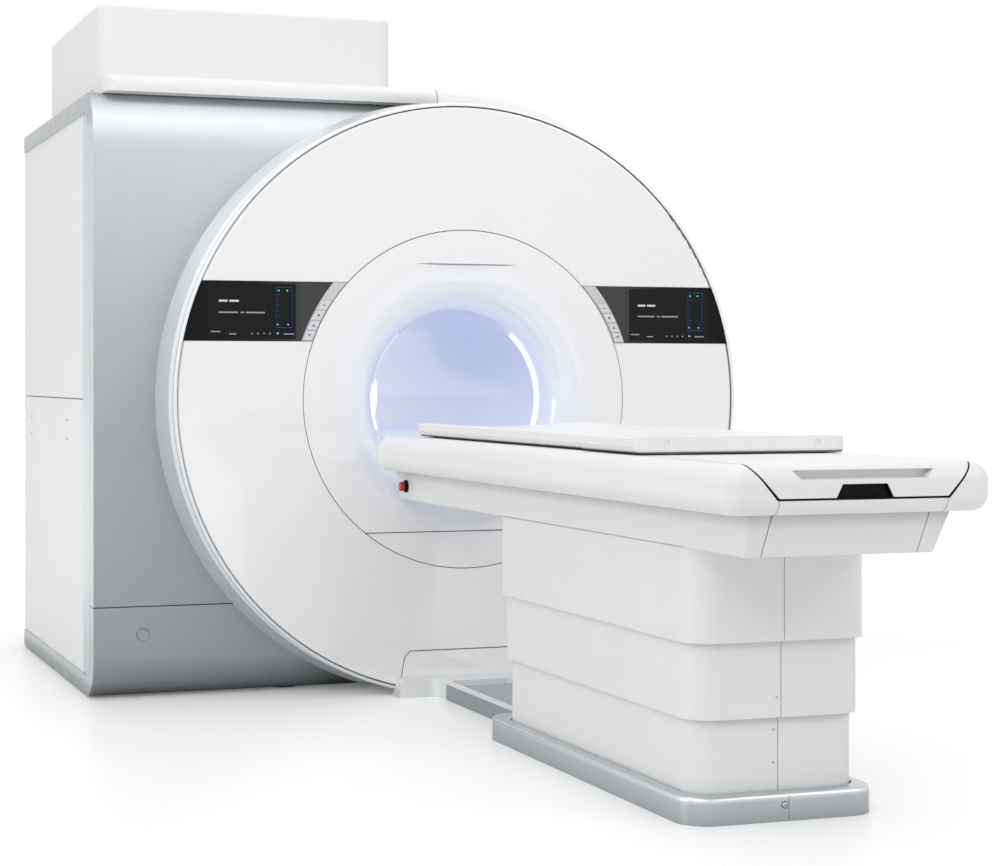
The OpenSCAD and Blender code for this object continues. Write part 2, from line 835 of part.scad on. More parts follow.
// Top cover, right part: follows the disc from the top down to the height of the bore axis.
module top_cover_right() {
  lip_r = ring_back_r - ring_wall;
  color("white") {
    difference() {
      on_bore_axis(cover_y) rotate([0, 0, -90]) rotate_extrude(angle = 90, $fn = 180) cover_section(lip_r);
      block([-far, -far, 0], [far, far, iso_h + seam / 2]);
    }
    cover_along_x(seam / 2 - top_split, 0) cover_section(lip_r);
  }
}

// Right side cover: the same section straight down, and only its side wall behind the silver front.
module right_side_cover() {
  color("white") {
    difference() {
      translate([0, cover_y, front_seam_h - 20]) linear_extrude(iso_h - seam / 2 - front_seam_h + 20)
        cover_section(side_in);
      block([-far, -far, 0], [far, cover_y - eps, far]);
      bore_plug(ring_back_r - ring_wall, cover_y - 2 * eps, cover_y + panel_t + eps);
    }
    intersection() {
      bore_revolve(front_y) square_between(ring_back_r - ring_wall, 0, ring_back_r, cover_y - front_y + eps);
      block([side_in, front_y, front_seam_h + seam], [far, cover_y + eps, iso_h - seam / 2]);
    }
    block([cover_r - panel_t, strip_y + 4, side_low], [cover_r, side_back_y, front_seam_h]);
  }
}

// Outline (x, z) of the gantry seen from behind, shrunk by g.
module rear_outline(g) {
  z0 = disc_clear + g;
  x0 = g - side_x;
  x_step = turret_right_x + seam + g;
  square_between(x0, z0, 0, cab_top - g);
  square_between(x_step, z0, 0, lid_top - g);
  difference() {
    union() {
      square_between(-eps, z0, cover_r - g, iso_h);
      translate([0, iso_h]) circle(r = cover_r - g, $fn = 180);
    }
    square_between(-far, -far, -eps, far);
    square_between(-eps, -far, far, z0);
  }
}

// Body of the rear cover shrunk by g: that outline, with upright corners rounded in plan.
module rear_form(g) {
  w = side_x + cover_r - 2 * g;
  intersection() {
    along_y(side_back_y + seam - (g > 0 ? eps : 0), back_y - g) rear_outline(g);
    translate([(cover_r - side_x) / 2, back_y - g - far / 2, 0])
      linear_extrude(far) plan(w, far, rear_round - g);
  }
}

// Rear cover: a tray with a round opening and two flanges that sit inside the side walls.
module rear_cover() {
  t = panel_t;
  y0 = side_back_y + seam;
  flange_in = 26;
  flange_t = 8;
  x_left = t + run_gap - side_x;
  x_right = cover_r - t - run_gap;
  color("white") {
    difference() {
      rear_form(0);
      rear_form(t);
      bore_plug(rear_open_r, y0, back_y + eps);
    }
    block([x_left, y0 - flange_in, 2 * rear_return],
      [x_left + flange_t, back_y - t, cab_top - 2 * rear_return]);
    block([x_right - flange_t, y0 - flange_in, 2 * rear_return], [x_right, back_y - t, iso_h]);
  }
}

// Funnel shell (radius, depth) with wall t: flat rim, quarter-round flare and a short throat.
module funnel_section(flare, rim_r, throat, t) {
  difference() {
    square_between(throat, 0, rim_r, flare + 6);
    square_between(throat + flare, t, rim_r + eps, far);
    intersection() {
      square_between(throat - eps, -eps, throat + flare, flare);
      difference() {
        square_between(throat - eps, -eps, throat + flare + eps, flare + eps);
        translate([throat + flare, flare]) circle(r = flare, $fn = 180);
      }
    }
    translate([throat + flare, flare]) circle(r = flare - t, $fn = 180);
    square_between(throat + t, flare - eps, rim_r + eps, far);
  }
}
module square_between(x0, y0, x1, y1) {
  translate([x0, y0]) square([x1 - x0, y1 - y0]);
}

// Whole front funnel before it is split: flat rim, flare and the scoop under the brow.
module front_funnel() {
  ball_r = (brow_half * brow_half + brow_depth * brow_depth) / (2 * brow_depth);
  difference() {
    bore_revolve(face_y) funnel_section(flare_r, inner_r - 1, bore_r + light_w, panel_t);
    intersection() {
      translate([0, face_y - ball_r + brow_depth, iso_h + brow_up]) sphere(r = ball_r, $fn = 360);
      block([-far, face_y - eps, iso_h], [far, face_y + brow_depth + eps, iso_h + brow_up]);
    }
  }
}
module bore_funnel() {
  color("white") difference() {
    front_funnel();
    block([-far, -far, -far], [far, 0, iso_h - lower_seam + seam / 2]);
  }
}
module funnel_lower_panel() {
  color("white") intersection() {
    front_funnel();
    block([-far, -far, -far], [far, 0, iso_h - lower_seam - seam / 2]);
  }
}

// Rear funnel: the same form facing back, on a skirt whose flange sits behind the rear cover's wall.
module rear_funnel() {
  t = panel_t - 2;
  r = rear_open_r - 1;
  rim_in = r - 2 * rear_edge;
  wall = rear_out + panel_t;
  color("white") translate([0, rear_rim_y, iso_h]) rotate([90, 0, 0]) rotate_extrude($fn = 180) {
    funnel_section(rear_flare_r, r - rear_edge, bore_r + light_w, t);
    difference() {
      translate([rim_in, 0]) turned_edge(r - rim_in, wall + t, rear_edge);
      translate([rim_in - eps, t]) turned_edge(r - rim_in - t + eps, far, rear_edge - t);
    }
    square_between(r - t, wall + run_gap, r + 20, wall + t);
  }
}

// Two curved light strips in the step between funnel and bore.
module light_strips() {
  low_a = -20;
  high_a = 47;
  color("white") for (s = [-1, 1]) on_side(s) on_bore_axis(throat_y - 4) rotate([0, 0, -high_a])
    rotate_extrude(angle = high_a - low_a, $fn = 180)
      square_between(bore_r + 0.5, 0, bore_r + light_w - 0.5, 10);
}

// Ring section (radius, depth): lip, groove and the flared part that meets the cabinet.
module ring_section() {
  w = ring_wall;
  difference() {
    polygon([[face_r + seam, 0], [ring_r, 0], [ring_r, lip_d], [ring_r - groove_in, lip_d + 3],
      [ring_r - groove_in, groove_end - 3], [ring_r, groove_end], [ring_back_r, front_set],
      [ring_back_r - w, front_set], [ring_r - w, groove_end + 3], [ring_r - groove_in - w, groove_end - 3],
      [ring_r - groove_in - w, panel_t + carrier_t + 6], [face_r + seam - 6, panel_t + carrier_t + 6],
      [face_r + seam - 6, panel_t + carrier_t], [face_r + seam, panel_t + carrier_t]]);
    translate([ring_r - 6, 6]) mirror([0, 1]) corner_waste(6);
  }
}
module ring_bezel() {
  color("silver") difference() {
    bore_revolve(face_y) ring_section();
    disc_floor_cut();
  }
}

// Carrier plate behind the face panels; the screens, keypads and panels are fixed to it.
module front_carrier() {
  color("darkgray") difference() {
    bore_revolve(face_y + panel_t) square_between(inner_r - 25, 0, face_r + seam - 0.5, carrier_t);
    disc_floor_cut();
  }
}

// Face panel section: flat, with a rounded outer edge.
module face_section() {
  difference() {
    square_between(inner_r + 1.5, 0, face_r, panel_t);
    translate([face_r - face_round, face_round]) mirror([0, 1]) corner_waste(face_round);
  }
}
module face_upper() {
  color("white") difference() {
    bore_revolve(face_y) face_section();
    block([-far, -far, -far], [far, far, iso_h + screen_top + 1]);
  }
}
module face_lower() {
  color("white") difference() {
    bore_revolve(face_y) face_section();
    block([-far, -far, iso_h + screen_low - 1], [far, far, far]);
    along_y(face_y - eps, face_y + panel_t + eps) dock_outline(seam);
    disc_floor_cut();
  }
}

// Cover over the dock connector at the foot of the disc.
module dock_cover() {
  color("white") intersection() {
    along_y(face_y, face_y + panel_t) dock_outline(0);
    bore_plug(face_r, face_y - eps, face_y + 100);
    block([-far, -far, disc_clear], [far, far, far]);
  }
}

// Part of a ring between radii r0 and r1 and heights z0 and z1 over the bore axis, on side s.
module ring_band(s, r0, r1, z0, z1, y0, y1) {
  intersection() {
    difference() {
      bore_plug(r1, y0, y1);
      bore_plug(r0, y0 - eps, y1 + eps);
    }
    on_side(s) block([0, y0 - eps, iso_h + z0], [far, y1 + eps, iso_h + z1]);
  }
}

// Glass screen: reaches from the keypad out to the edge of the disc.
module screen(s) {
  color("black") ring_band(s, screen_in_r, face_r, screen_low, screen_top, face_y - 1, face_y + panel_t);
}
module screen_left() {
  screen(-1);
}
module screen_right() {
  screen(1);
}

// Curved keypad strip with one pocket for each key.
module keypad(s) {
  color("lightgray") difference() {
    ring_band(s, strip_in_r, strip_out_r, screen_low, screen_top, face_y - 2, face_y + panel_t);
    for (i = [0 : key_n - 1]) ring_band(s, strip_in_r + 3, strip_out_r - 3, key_first + i * key_pitch,
      key_first + i * key_pitch + key_h, face_y - 3, key_floor_y);
  }
}
module keypad_left() {
  keypad(-1);
}
module keypad_right() {
  keypad(1);
}

// Key number i of a keypad, counted from below.
module key(s, i) {
  z0 = key_first + (i - 1) * key_pitch + key_gap;
  if (i <= key_n) color("white")
    ring_band(s, strip_in_r + 3 + key_gap, strip_out_r - 3 - key_gap, z0, z0 + key_h - 2 * key_gap,
      face_y - 2 - key_proud, key_floor_y - key_travel - run_gap);
}

// Floor dock: cross bar in front of the disc and a recessed rail out to the table base.
module floor_dock() {
  y1 = face_y - run_gap;
  y0 = y1 - dock_bar_d;
  rail_end = base_head_y + run_gap;
  bar_half = dock_foot_half + 12;
  color("silver") difference() {
    union() {
      along_y(y0, y1)
        polygon([[-bar_half, 0], [bar_half, 0], [bar_half - 20, dock_h], [20 - bar_half, dock_h]]);
      block([-dock_rail_half, rail_end, 0], [dock_rail_half, y0 + eps, dock_h]);
      for (s = [-1, 1]) on_side(s) linear_extrude(dock_h) difference() {
        square_between(dock_rail_half - eps, y0 - dock_fillet, dock_rail_half + dock_fillet, y0 + eps);
        translate([dock_rail_half + dock_fillet, y0 - dock_fillet]) circle(r = dock_fillet);
      }
    }
    translate([0, (rail_end + y0 - 40) / 2, dock_h - dock_recess]) linear_extrude(far)
      plan(2 * (dock_rail_half - dock_rim), y0 - 40 - rail_end - 2 * dock_rim, 24);
  }
}

// Cast base of the table: rounded slab with a pocket that the column stands in.
module table_base() {
  len = base_head_y - base_foot_y;
  low_half = col_half - 2 * col_step_side + base_gap;
  low_len = col_len - 4 * col_step_end + 2 * base_gap;
  color("silver") difference() {
    translate([0, (base_head_y + base_foot_y) / 2, 0])
      soft_slab(2 * base_half, len, base_h, col_round, base_edge);
    translate([0, col_mid_y, pocket_z]) linear_extrude(far)
      plan(2 * low_half, low_len, col_round - col_step_side + base_gap);
    translate([screw_x, base_foot_y - eps, screw_z]) rotate([-90, 0, 0])
      cylinder(r = screw_r + 1, h = screw_sink + eps);
    block([joint_x, base_foot_y - eps, -eps], [joint_x + 2, base_foot_y + 2, base_h + eps]);
  }
}

// Levelling screw with a round head, seen at the foot end of the base.
module base_screw() {
  head = screw_sink + 4;
  round = 5;
  color("gray") translate([screw_x, base_foot_y + screw_sink - run_gap, screw_z])
    rotate([90, 0, 0]) difference() {
    rotate_extrude() difference() {
      square([screw_r, head]);
      translate([screw_r - round, head - round]) corner_waste(round);
    }
    translate([0, 0, head - 3]) cylinder(r = 2.5, h = far / 100, $fn = 6);
  }
}

// Telescoping column cover number n (0 outermost), from z0 to z1, with a seam line at its foot end.
module column_cover(n, z0, z1) {
  half = col_half - n * col_step_side;
  foot = col_foot_y + n * col_step_end;
  head = col_head_y - n * col_step_end;
  r = col_round - n * col_step_side / 2;
  t = col_wall;
  color("white") translate([0, (foot + head) / 2, z0]) difference() {
    linear_extrude(z1 - z0) plan(2 * half, head - foot, r);
    translate([0, 0, -eps]) linear_extrude(z1 - z0 + 2 * eps)
      plan(2 * (half - t), head - foot - 2 * t, r - t);
    translate([-1, -(head - foot) / 2 - eps, -eps]) cube([2, col_wall - 1 + eps, z1 - z0 + 2 * eps]);
  }
}
module lower_shell() {
  column_cover(2, pocket_z, lower_top);
}
module mid_shell() {
  column_cover(1, mid_low, mid_top);
}
module upper_shell() {
  column_cover(0, upper_low, tray_low);
}

// Pair of square lift tubes, stage n (0 is the fixed outer one), from z0 to z1.
module lift_tubes(n, z0, z1) {
  half = tube_half - n * (tube_wall + run_gap);
  color("gray") for (s = [-1, 1]) translate([0, col_mid_y + s * tube_apart / 2, z0]) difference() {
    linear_extrude(z1 - z0) plan(2 * half, 2 * half, 14 - 3 * n);
    translate([0, 0, -eps]) linear_extrude(z1 - z0 + 2 * eps)
      plan(2 * (half - tube_wall), 2 * (half - tube_wall), 8 - 2 * n);
  }
}
module lift_tube_fixed() {
  lift_tubes(0, pocket_z, pocket_z + tube_len);
}
// The middle tubes carry a folded plate that holds the middle column cover.
module lift_tube_mid() {
  z1 = pocket_z + 3 + lift_travel / 2 + tube_len;
  half = col_half - col_step_side - col_wall - run_gap;
  foot = col_foot_y + col_step_end + col_wall + run_gap;
  head = col_head_y - col_step_end - col_wall - run_gap;
  r = col_round - col_step_side / 2 - col_wall;
  plate_t = 3;
  fold = 14;
  window = 2 * (tube_half - tube_wall - 4);
  lift_tubes(1, z1 - tube_len, z1);
  color("gray") translate([0, (foot + head) / 2, z1 - fold]) difference() {
    linear_extrude(fold) plan(2 * half, head - foot, r);
    translate([0, 0, -eps]) linear_extrude(fold - plate_t + eps)
      plan(2 * (half - plate_t), head - foot - 2 * plate_t, r - plate_t);
    for (s = [-1, 1]) translate([0, s * tube_apart / 2, -eps]) linear_extrude(fold + 2 * eps)
      plan(window, window, 8);
    translate([0, 0, -eps]) linear_extrude(fold + 2 * eps)
      plan(2 * tube_half, tube_apart - 3 * tube_half, 30);
  }
}
module lift_tube_top() {
  lift_tubes(2, tray_low - tube_len, tray_low);
}

// Tray under the table top, inset by t: sides that draw in downwards and a foot end that leans out.
module tray_form(t) {
  low = tray_low_half - t;
  top = tray_top_half - t;
  r = tray_edge;
  intersection() {
    along_y(tray_top_y - eps, tray_head_y - t) polygon([[-low + r, tray_low + t], [low - r, tray_low + t],
      [low, tray_low + r + t], [top, body_low + (t > 0 ? eps : 0)], [-top, body_low + (t > 0 ? eps : 0)],
      [-low, tray_low + r + t]]);
    along_x(-top - eps, top + eps) polygon([[tray_low_y + t, tray_low], [tray_head_y, tray_low],
      [tray_head_y, body_low + eps], [tray_top_y + t, body_low + eps]]);
  }
}
module tray() {
  boss_r = stop_d / 2 + 6;
  color("white") difference() {
    union() {
      difference() {
        tray_form(0);
        tray_form(table_wall);
        panel_slot(seam);
      }
      for (s = [-1, 1]) at_stop(s) translate([0, 0, -12]) cylinder(r = boss_r, h = 12);
    }
    for (s = [-1, 1]) at_stop(s) translate([0, 0, -40]) cylinder(r = stop_stem_r + 1, h = 60);
  }
}

// Places a shape on the tray's side at the emergency stop of side s, its Z axis pointing outwards.
module at_stop(s) {
  side = tray_low_half + (tray_top_half - tray_low_half) * (stop_up + stop_d / 2) / tray_h + 1;
  translate([s * side, face_y - stop_from_face, tray_low + stop_up]) rotate([0, 90 * s, 0]) children();
}

// Window in the tray's foot end and the floor behind it, g wider than its panel.
module panel_slot(g) {
  half = tray_panel_half + g / 2;
  block([-half, tray_top_y - eps, tray_low - eps], [half, tray_low_y + 30 + g / 2, body_low + eps]);
}

// Removable panel in the tray's foot end, with a lip behind the window.
module tray_end_panel() {
  color("gainsboro") difference() {
    union() {
      intersection() {
        tray_form(0);
        panel_slot(-seam);
      }
      intersection() {
        tray_form(table_wall + run_gap);
        panel_slot(30);
      }
    }
    tray_form(table_wall + 6);
    block([-far, -far, body_low - run_gap], [far, far, far]);
  }
}

// Table top as one soft-edged slab, inset by t, with round foot corners and a square head end.
module body_form(t) {
  h = body_h - 2 * t;
  rc = body_corner - t;
  rl = body_round_low - t;
  rt = body_round_top - t;
  half = body_half - t;
  foot = body_foot_y + t;
  translate([0, 0, body_low + t]) {
    along_y(foot + rc, body_head_y - t) round_rect(2 * half, h, rl, rt);
    translate([-half + rc, foot + rc, 0]) rotate([90, 0, 90]) linear_extrude(2 * (half - rc))
      mirror([1, 0]) edge_section(rc, h, rl, rt);
    for (s = [-1, 1]) on_side(s) translate([half - rc, foot + rc, 0]) rotate([0, 0, -90])
      rotate_extrude(angle = 90) edge_section(rc, h, rl, rt);
  }
}

// Point at t on the curve from a to c that is drawn towards b.
function bend(a, b, c, t) = (1 - t) * (1 - t) * a + 2 * t * (1 - t) * b + t * t * c;

// Outline (x, z) of the deck and end cap seen from the foot, shrunk by g.
module cap_outline(g) {
  steps = 10;
  low = [cap_low_half - g, body_low + cap_low + g];
  knee = [cap_shoulder - g, body_low + cap_low + 62];
  top = [deck_half - g, body_top];
  right = [for (i = [0 : steps]) bend(low, knee, top, i / steps)];
  left = [for (i = [0 : steps]) [-right[steps - i][0], right[steps - i][1]]];
  polygon(concat(right, [[top[0], body_top + 20], [-top[0], body_top + 20]], left));
}

// Table body: the two bolsters, the underside and the head end, open where the deck cover lies.
module table_body() {
  w = table_wall;
  foot = body_foot_y;
  floor_half = tray_low_half - 12;
  color("white") difference() {
    body_form(0);
    body_form(w + 1);
    along_y(foot - eps, foot + cap_len) cap_outline(0);
    block([-floor_half, tray_low_y + 20, body_low - eps], [floor_half, body_head_y - 40, body_low + 20]);
    block([-rail_x - rail_w / 2 - 2, foot + cap_len - eps, body_top - 20],
      [rail_x + rail_w / 2 + 2, body_head_y - 30, body_top + eps]);
    for (s = [-1, 1]) on_side(s) block([tray_panel_half + 12, foot - eps, body_low - eps],
      [tray_panel_half + 14, foot + 60, body_low + cap_low]);
  }
  color("white") block([-rail_x - rail_w, foot + cap_len, body_top - 28],
    [rail_x + rail_w, body_head_y - w, body_top - 20]);
  color("white") intersection() {
    body_form(w / 2);
    for (s = [-1, 1]) on_side(s) block([deck_half - 16, foot + body_corner + 30, body_top - w - 12],
      [body_half, foot + cap_len, body_top - w]);
  }
}

// Deck cover that turns down into the end cap, with the grip slot and the release recess.
module end_cap() {
  foot = body_foot_y;
  g = cap_gap;
  w = table_wall;
  solid_d = recess_deep + 24;
  color("white") difference() {
    intersection() {
      body_form(0);
      along_y(foot - eps, foot + cap_len - g) cap_outline(g);
    }
    difference() {
      intersection() {
        body_form(w);
        along_y(foot + w, foot + cap_len) cap_outline(g + w);
      }
      block([-far, foot - eps, 0], [far, foot + solid_d, far]);
    }
    block([-far, foot + solid_d, 0], [far, far, body_top - w]);
    grip_pocket();
    release_pocket(0);
    translate([-recess_half - 26, pivot_y(), pivot_z()]) rotate([0, 90, 0])
      cylinder(r = pivot_r + run_gap, h = 2 * recess_half + 52);
  }
}
function pivot_y() = body_foot_y + recess_deep - 8;
function pivot_z() = body_low + cap_low + recess_h - 7;

// Grip slot: slanted ends and a floor that rises towards the back.
module grip_pocket() {
  z0 = body_low + 80;
  intersection() {
    along_y(body_foot_y - eps, body_foot_y + grip_deep) polygon([[grip_h - grip_half, z0],
      [grip_half - grip_h, z0], [grip_half, z0 + grip_h], [-grip_half, z0 + grip_h]]);
    along_x(-grip_half, grip_half) polygon([[body_foot_y - eps, z0], [body_foot_y, z0],
      [body_foot_y + grip_deep, z0 + grip_rise], [body_foot_y + grip_deep, z0 + grip_h],
      [body_foot_y - eps, z0 + grip_h]]);
  }
}

// Release recess in the lower edge of the end cap, shrunk by g.
module release_pocket(g) {
  z0 = body_low + cap_low;
  along_y(body_foot_y - eps, body_foot_y + recess_deep - g) polygon([[-recess_half - 19 + g, z0 - eps],
    [recess_half + 19 - g, z0 - eps], [recess_half - g, z0 + recess_h - g],
    [-recess_half + g, z0 + recess_h - g]]);
}

// Release lever: a paddle in the recess that turns about its upper edge.
module release_lever() {
  g = 3;
  z0 = body_low + cap_low;
  color("black") {
    difference() {
      intersection() {
        release_pocket(g);
        block([-far, body_foot_y + 12, z0 + 3], [far, pivot_y() - 1, z0 + recess_h]);
      }
      block([-recess_half + 8, body_foot_y + 24, z0 - eps],
        [recess_half - 8, pivot_y() - 10, pivot_z() - pivot_r - 5]);
    }
    translate([-recess_half - 24, pivot_y(), pivot_z()]) rotate([0, 90, 0])
      cylinder(r = pivot_r, h = 2 * recess_half + 48);
    block([-recess_half + g, pivot_y() - 10, pivot_z() - pivot_r],
      [recess_half - g, pivot_y(), pivot_z() + pivot_r]);
  }
}

// Two rails that carry the cradle on the table.
module cradle_rails() {
  z0 = body_top - 20;
  y0 = cradle_foot_y + 40;
  color("silver") for (s = [-1, 1])
    block([s * rail_x - rail_w / 2, y0 > body_foot_y + cap_len ? y0 : body_foot_y + cap_len + 2, z0],
      [s * rail_x + rail_w / 2, body_head_y - 36, bed_z - run_gap]);
}

// Cradle section (x, z): sides that draw in downwards and rounded lower corners.
module cradle_section(half) {
  low = half - cradle_side_slope;
  r = cradle_under_round;
  difference() {
    polygon([[-low, 0], [low, 0], [half, cradle_t], [-half, cradle_t]]);
    for (s = [-1, 1]) on_side(s) {
      translate([low - r, r]) mirror([0, 1]) square([r + cradle_side_slope + eps, r + eps]);
      translate([half - 8, cradle_t - 8]) corner_waste(8);
    }
  }
  for (s = [-1, 1]) translate([s * (low - r), r]) circle(r = r);
}

// Cradle: slim body that enters the bore, wide foot end, and a shallow dish along its top.
module cradle() {
  step_y = cradle_foot_y + cradle_foot_len;
  dish_half = cradle_slim_half - 34;
  dish_r = (dish_half * dish_half + cradle_dish * cradle_dish) / (2 * cradle_dish);
  dimple_x = 212;
  joint_apart = 358;
  groove = 3;
  color("white") difference() {
    translate([0, 0, bed_z]) intersection() {
      union() {
        along_y(cradle_foot_y, step_y) cradle_section(cradle_half);
        along_y(step_y - eps, cradle_head_y) cradle_section(cradle_slim_half);
      }
      translate([0, (cradle_foot_y + cradle_head_y) / 2, -eps]) linear_extrude(cradle_t + 2 * eps)
        plan(2 * cradle_half + 1, cradle_len, cradle_corner);
    }
    translate([0, cradle_foot_y + 60, bed_z + cradle_t - cradle_dish + dish_r]) rotate([-90, 0, 0])
      cylinder(r = dish_r, h = far, $fn = 360);
    for (y = [step_y, step_y + joint_apart]) intersection() {
      block([-far, y, bed_z], [far, y + groove, far]);
      union() {
        block([-far, y, bed_z + cradle_t - groove], [far, y + groove, far]);
        translate([0, y - eps, bed_z + cradle_t - cradle_dish - groove + dish_r]) rotate([-90, 0, 0])
          cylinder(r = dish_r, h = 2 * groove + eps, $fn = 360);
      }
    }
    for (x = [-dimple_x, dimple_x]) translate([x, cradle_foot_y - eps, bed_z + cradle_t - 15])
      rotate([-90, 0, 0]) cylinder(r = 7, h = 4);
  }
}

// Collars and push buttons of the two emergency stops.
module estop_collars() {
  color("black") for (s = [-1, 1]) at_stop(s) difference() {
    cylinder(r = stop_d / 2 + 5, h = stop_collar_h);
    translate([0, 0, -eps]) cylinder(r = stop_stem_r + run_gap, h = far / 10);
  }
}
module stop_button(s) {
  cap_h = stop_proud - stop_travel - run_gap;
  color("red") at_stop(s) {
    translate([0, 0, -8]) cylinder(r = stop_stem_r, h = 8 + stop_collar_h + stop_travel + eps);
    translate([0, 0, stop_collar_h + stop_travel + run_gap]) rotate_extrude() difference() {
      square([stop_d / 2, cap_h]);
      translate([stop_d / 2 - 5, cap_h - 5]) corner_waste(5);
    }
  }
}
module estop_left() {
  stop_button(-1);
}
module estop_right() {
  stop_button(1);
}

base_frame();
magnet_vessel();
gradient_coil();
body_coil();
detector_ring();
bore_tube();
bore_bridge();
cold_head();
front_upper_shell();
front_lower_shell();
service_plug();
left_upper_panel();
left_lower_panel();
corner_strip();
top_cover_left();
top_cover_right();
right_side_cover();
rear_cover();
rear_funnel();
turret_cover();
ring_bezel();
front_carrier();
face_upper();
face_lower();
bore_funnel();
funnel_lower_panel();
dock_cover();
light_strips();
screen_left();
screen_right();
keypad_left();
keypad_right();
key(-1, 1);  // key_left_1
key(-1, 2);  // key_left_2
key(-1, 3);  // key_left_3
key(-1, 4);  // key_left_4
key(1, 1);  // key_right_1
key(1, 2);  // key_right_2
key(1, 3);  // key_right_3
key(1, 4);  // key_right_4
floor_dock();
table_base();
base_screw();
lower_shell();
lift_tube_fixed();
mid_shell();
lift_tube_mid();
upper_shell();
lift_tube_top();
tray();
tray_end_panel();
table_body();
end_cap();
cradle_rails();
release_lever();
cradle();
estop_collars();
estop_left();
estop_right();
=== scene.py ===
"""Looks of the scanner and its patient table: finishes for every solid, fine pieces, light and camera."""

import math

import bmesh
import bpy
from mathutils import Matrix, Vector


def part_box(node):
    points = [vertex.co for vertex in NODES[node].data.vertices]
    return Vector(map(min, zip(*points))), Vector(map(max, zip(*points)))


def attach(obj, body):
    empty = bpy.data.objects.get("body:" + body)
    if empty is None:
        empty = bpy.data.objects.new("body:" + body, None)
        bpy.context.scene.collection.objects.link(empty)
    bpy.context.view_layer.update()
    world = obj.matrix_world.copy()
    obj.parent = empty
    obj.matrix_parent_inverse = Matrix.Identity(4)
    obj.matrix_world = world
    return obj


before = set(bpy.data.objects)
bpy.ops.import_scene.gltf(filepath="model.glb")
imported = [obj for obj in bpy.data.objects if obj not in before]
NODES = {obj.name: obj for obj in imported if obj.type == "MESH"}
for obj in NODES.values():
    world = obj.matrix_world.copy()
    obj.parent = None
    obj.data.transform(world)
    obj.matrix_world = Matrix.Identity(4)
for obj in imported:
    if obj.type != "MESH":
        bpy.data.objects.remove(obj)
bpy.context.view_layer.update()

# Places shared with the solids, in metres.
ISO_Z = 1.010
SCREEN_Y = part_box("screen_left")[0].y
KEY_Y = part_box("key_left_1")[0].y
CAP_FOOT_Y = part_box("end_cap")[0].y
DOCK_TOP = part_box("floor_dock")[1].z
DOCK_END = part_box("floor_dock")[1].y
SCREEN_FOOT = ISO_Z + 0.205
SCREEN_HEAD = ISO_Z + 0.388
SCREEN_INNER = 0.609
SCREEN_OUTER = 0.905
BROW_Z = ISO_Z + 0.466
BROW_HALF = 0.186
SILVER_TOP = 2.06
LEFT_RETURN_X = -1.2511
RECESS_TOP = 0.8444
RECESS_HALF = 0.0798
HATCH_PROUD = 0.0016
# Step between printed layers.
PROUD = 0.0004

# The camera was solved from the photograph.
CAMERA_AT = Vector((-2.5164, -8.1957, 1.0873))
CAMERA_YAW = math.radians(20.03)
CAMERA_LENS = 79.85
CAMERA_SHIFT_Y = -0.0563

# Share of the background that lights the object, and the lift of the floor's grey near it.
WORLD_STRENGTH = 0.58
FLOOR_LIFT = 0.14
# Distances from a middle at which the floor starts and ends turning into the background.
FLOOR_FADE = (2.6, 5.5)
FLOOR_MIDDLE = (0, -1.4, 0)


# Materials

def srgb(code):
    """Linear colour from a hexadecimal code such as 'e4e6e8'."""
    def linear(v):
        return v / 12.92 if v <= 0.04045 else ((v + 0.055) / 1.055) ** 2.4
    return tuple(linear(int(code[i:i + 2], 16) / 255) for i in (0, 2, 4)) + (1.0,)


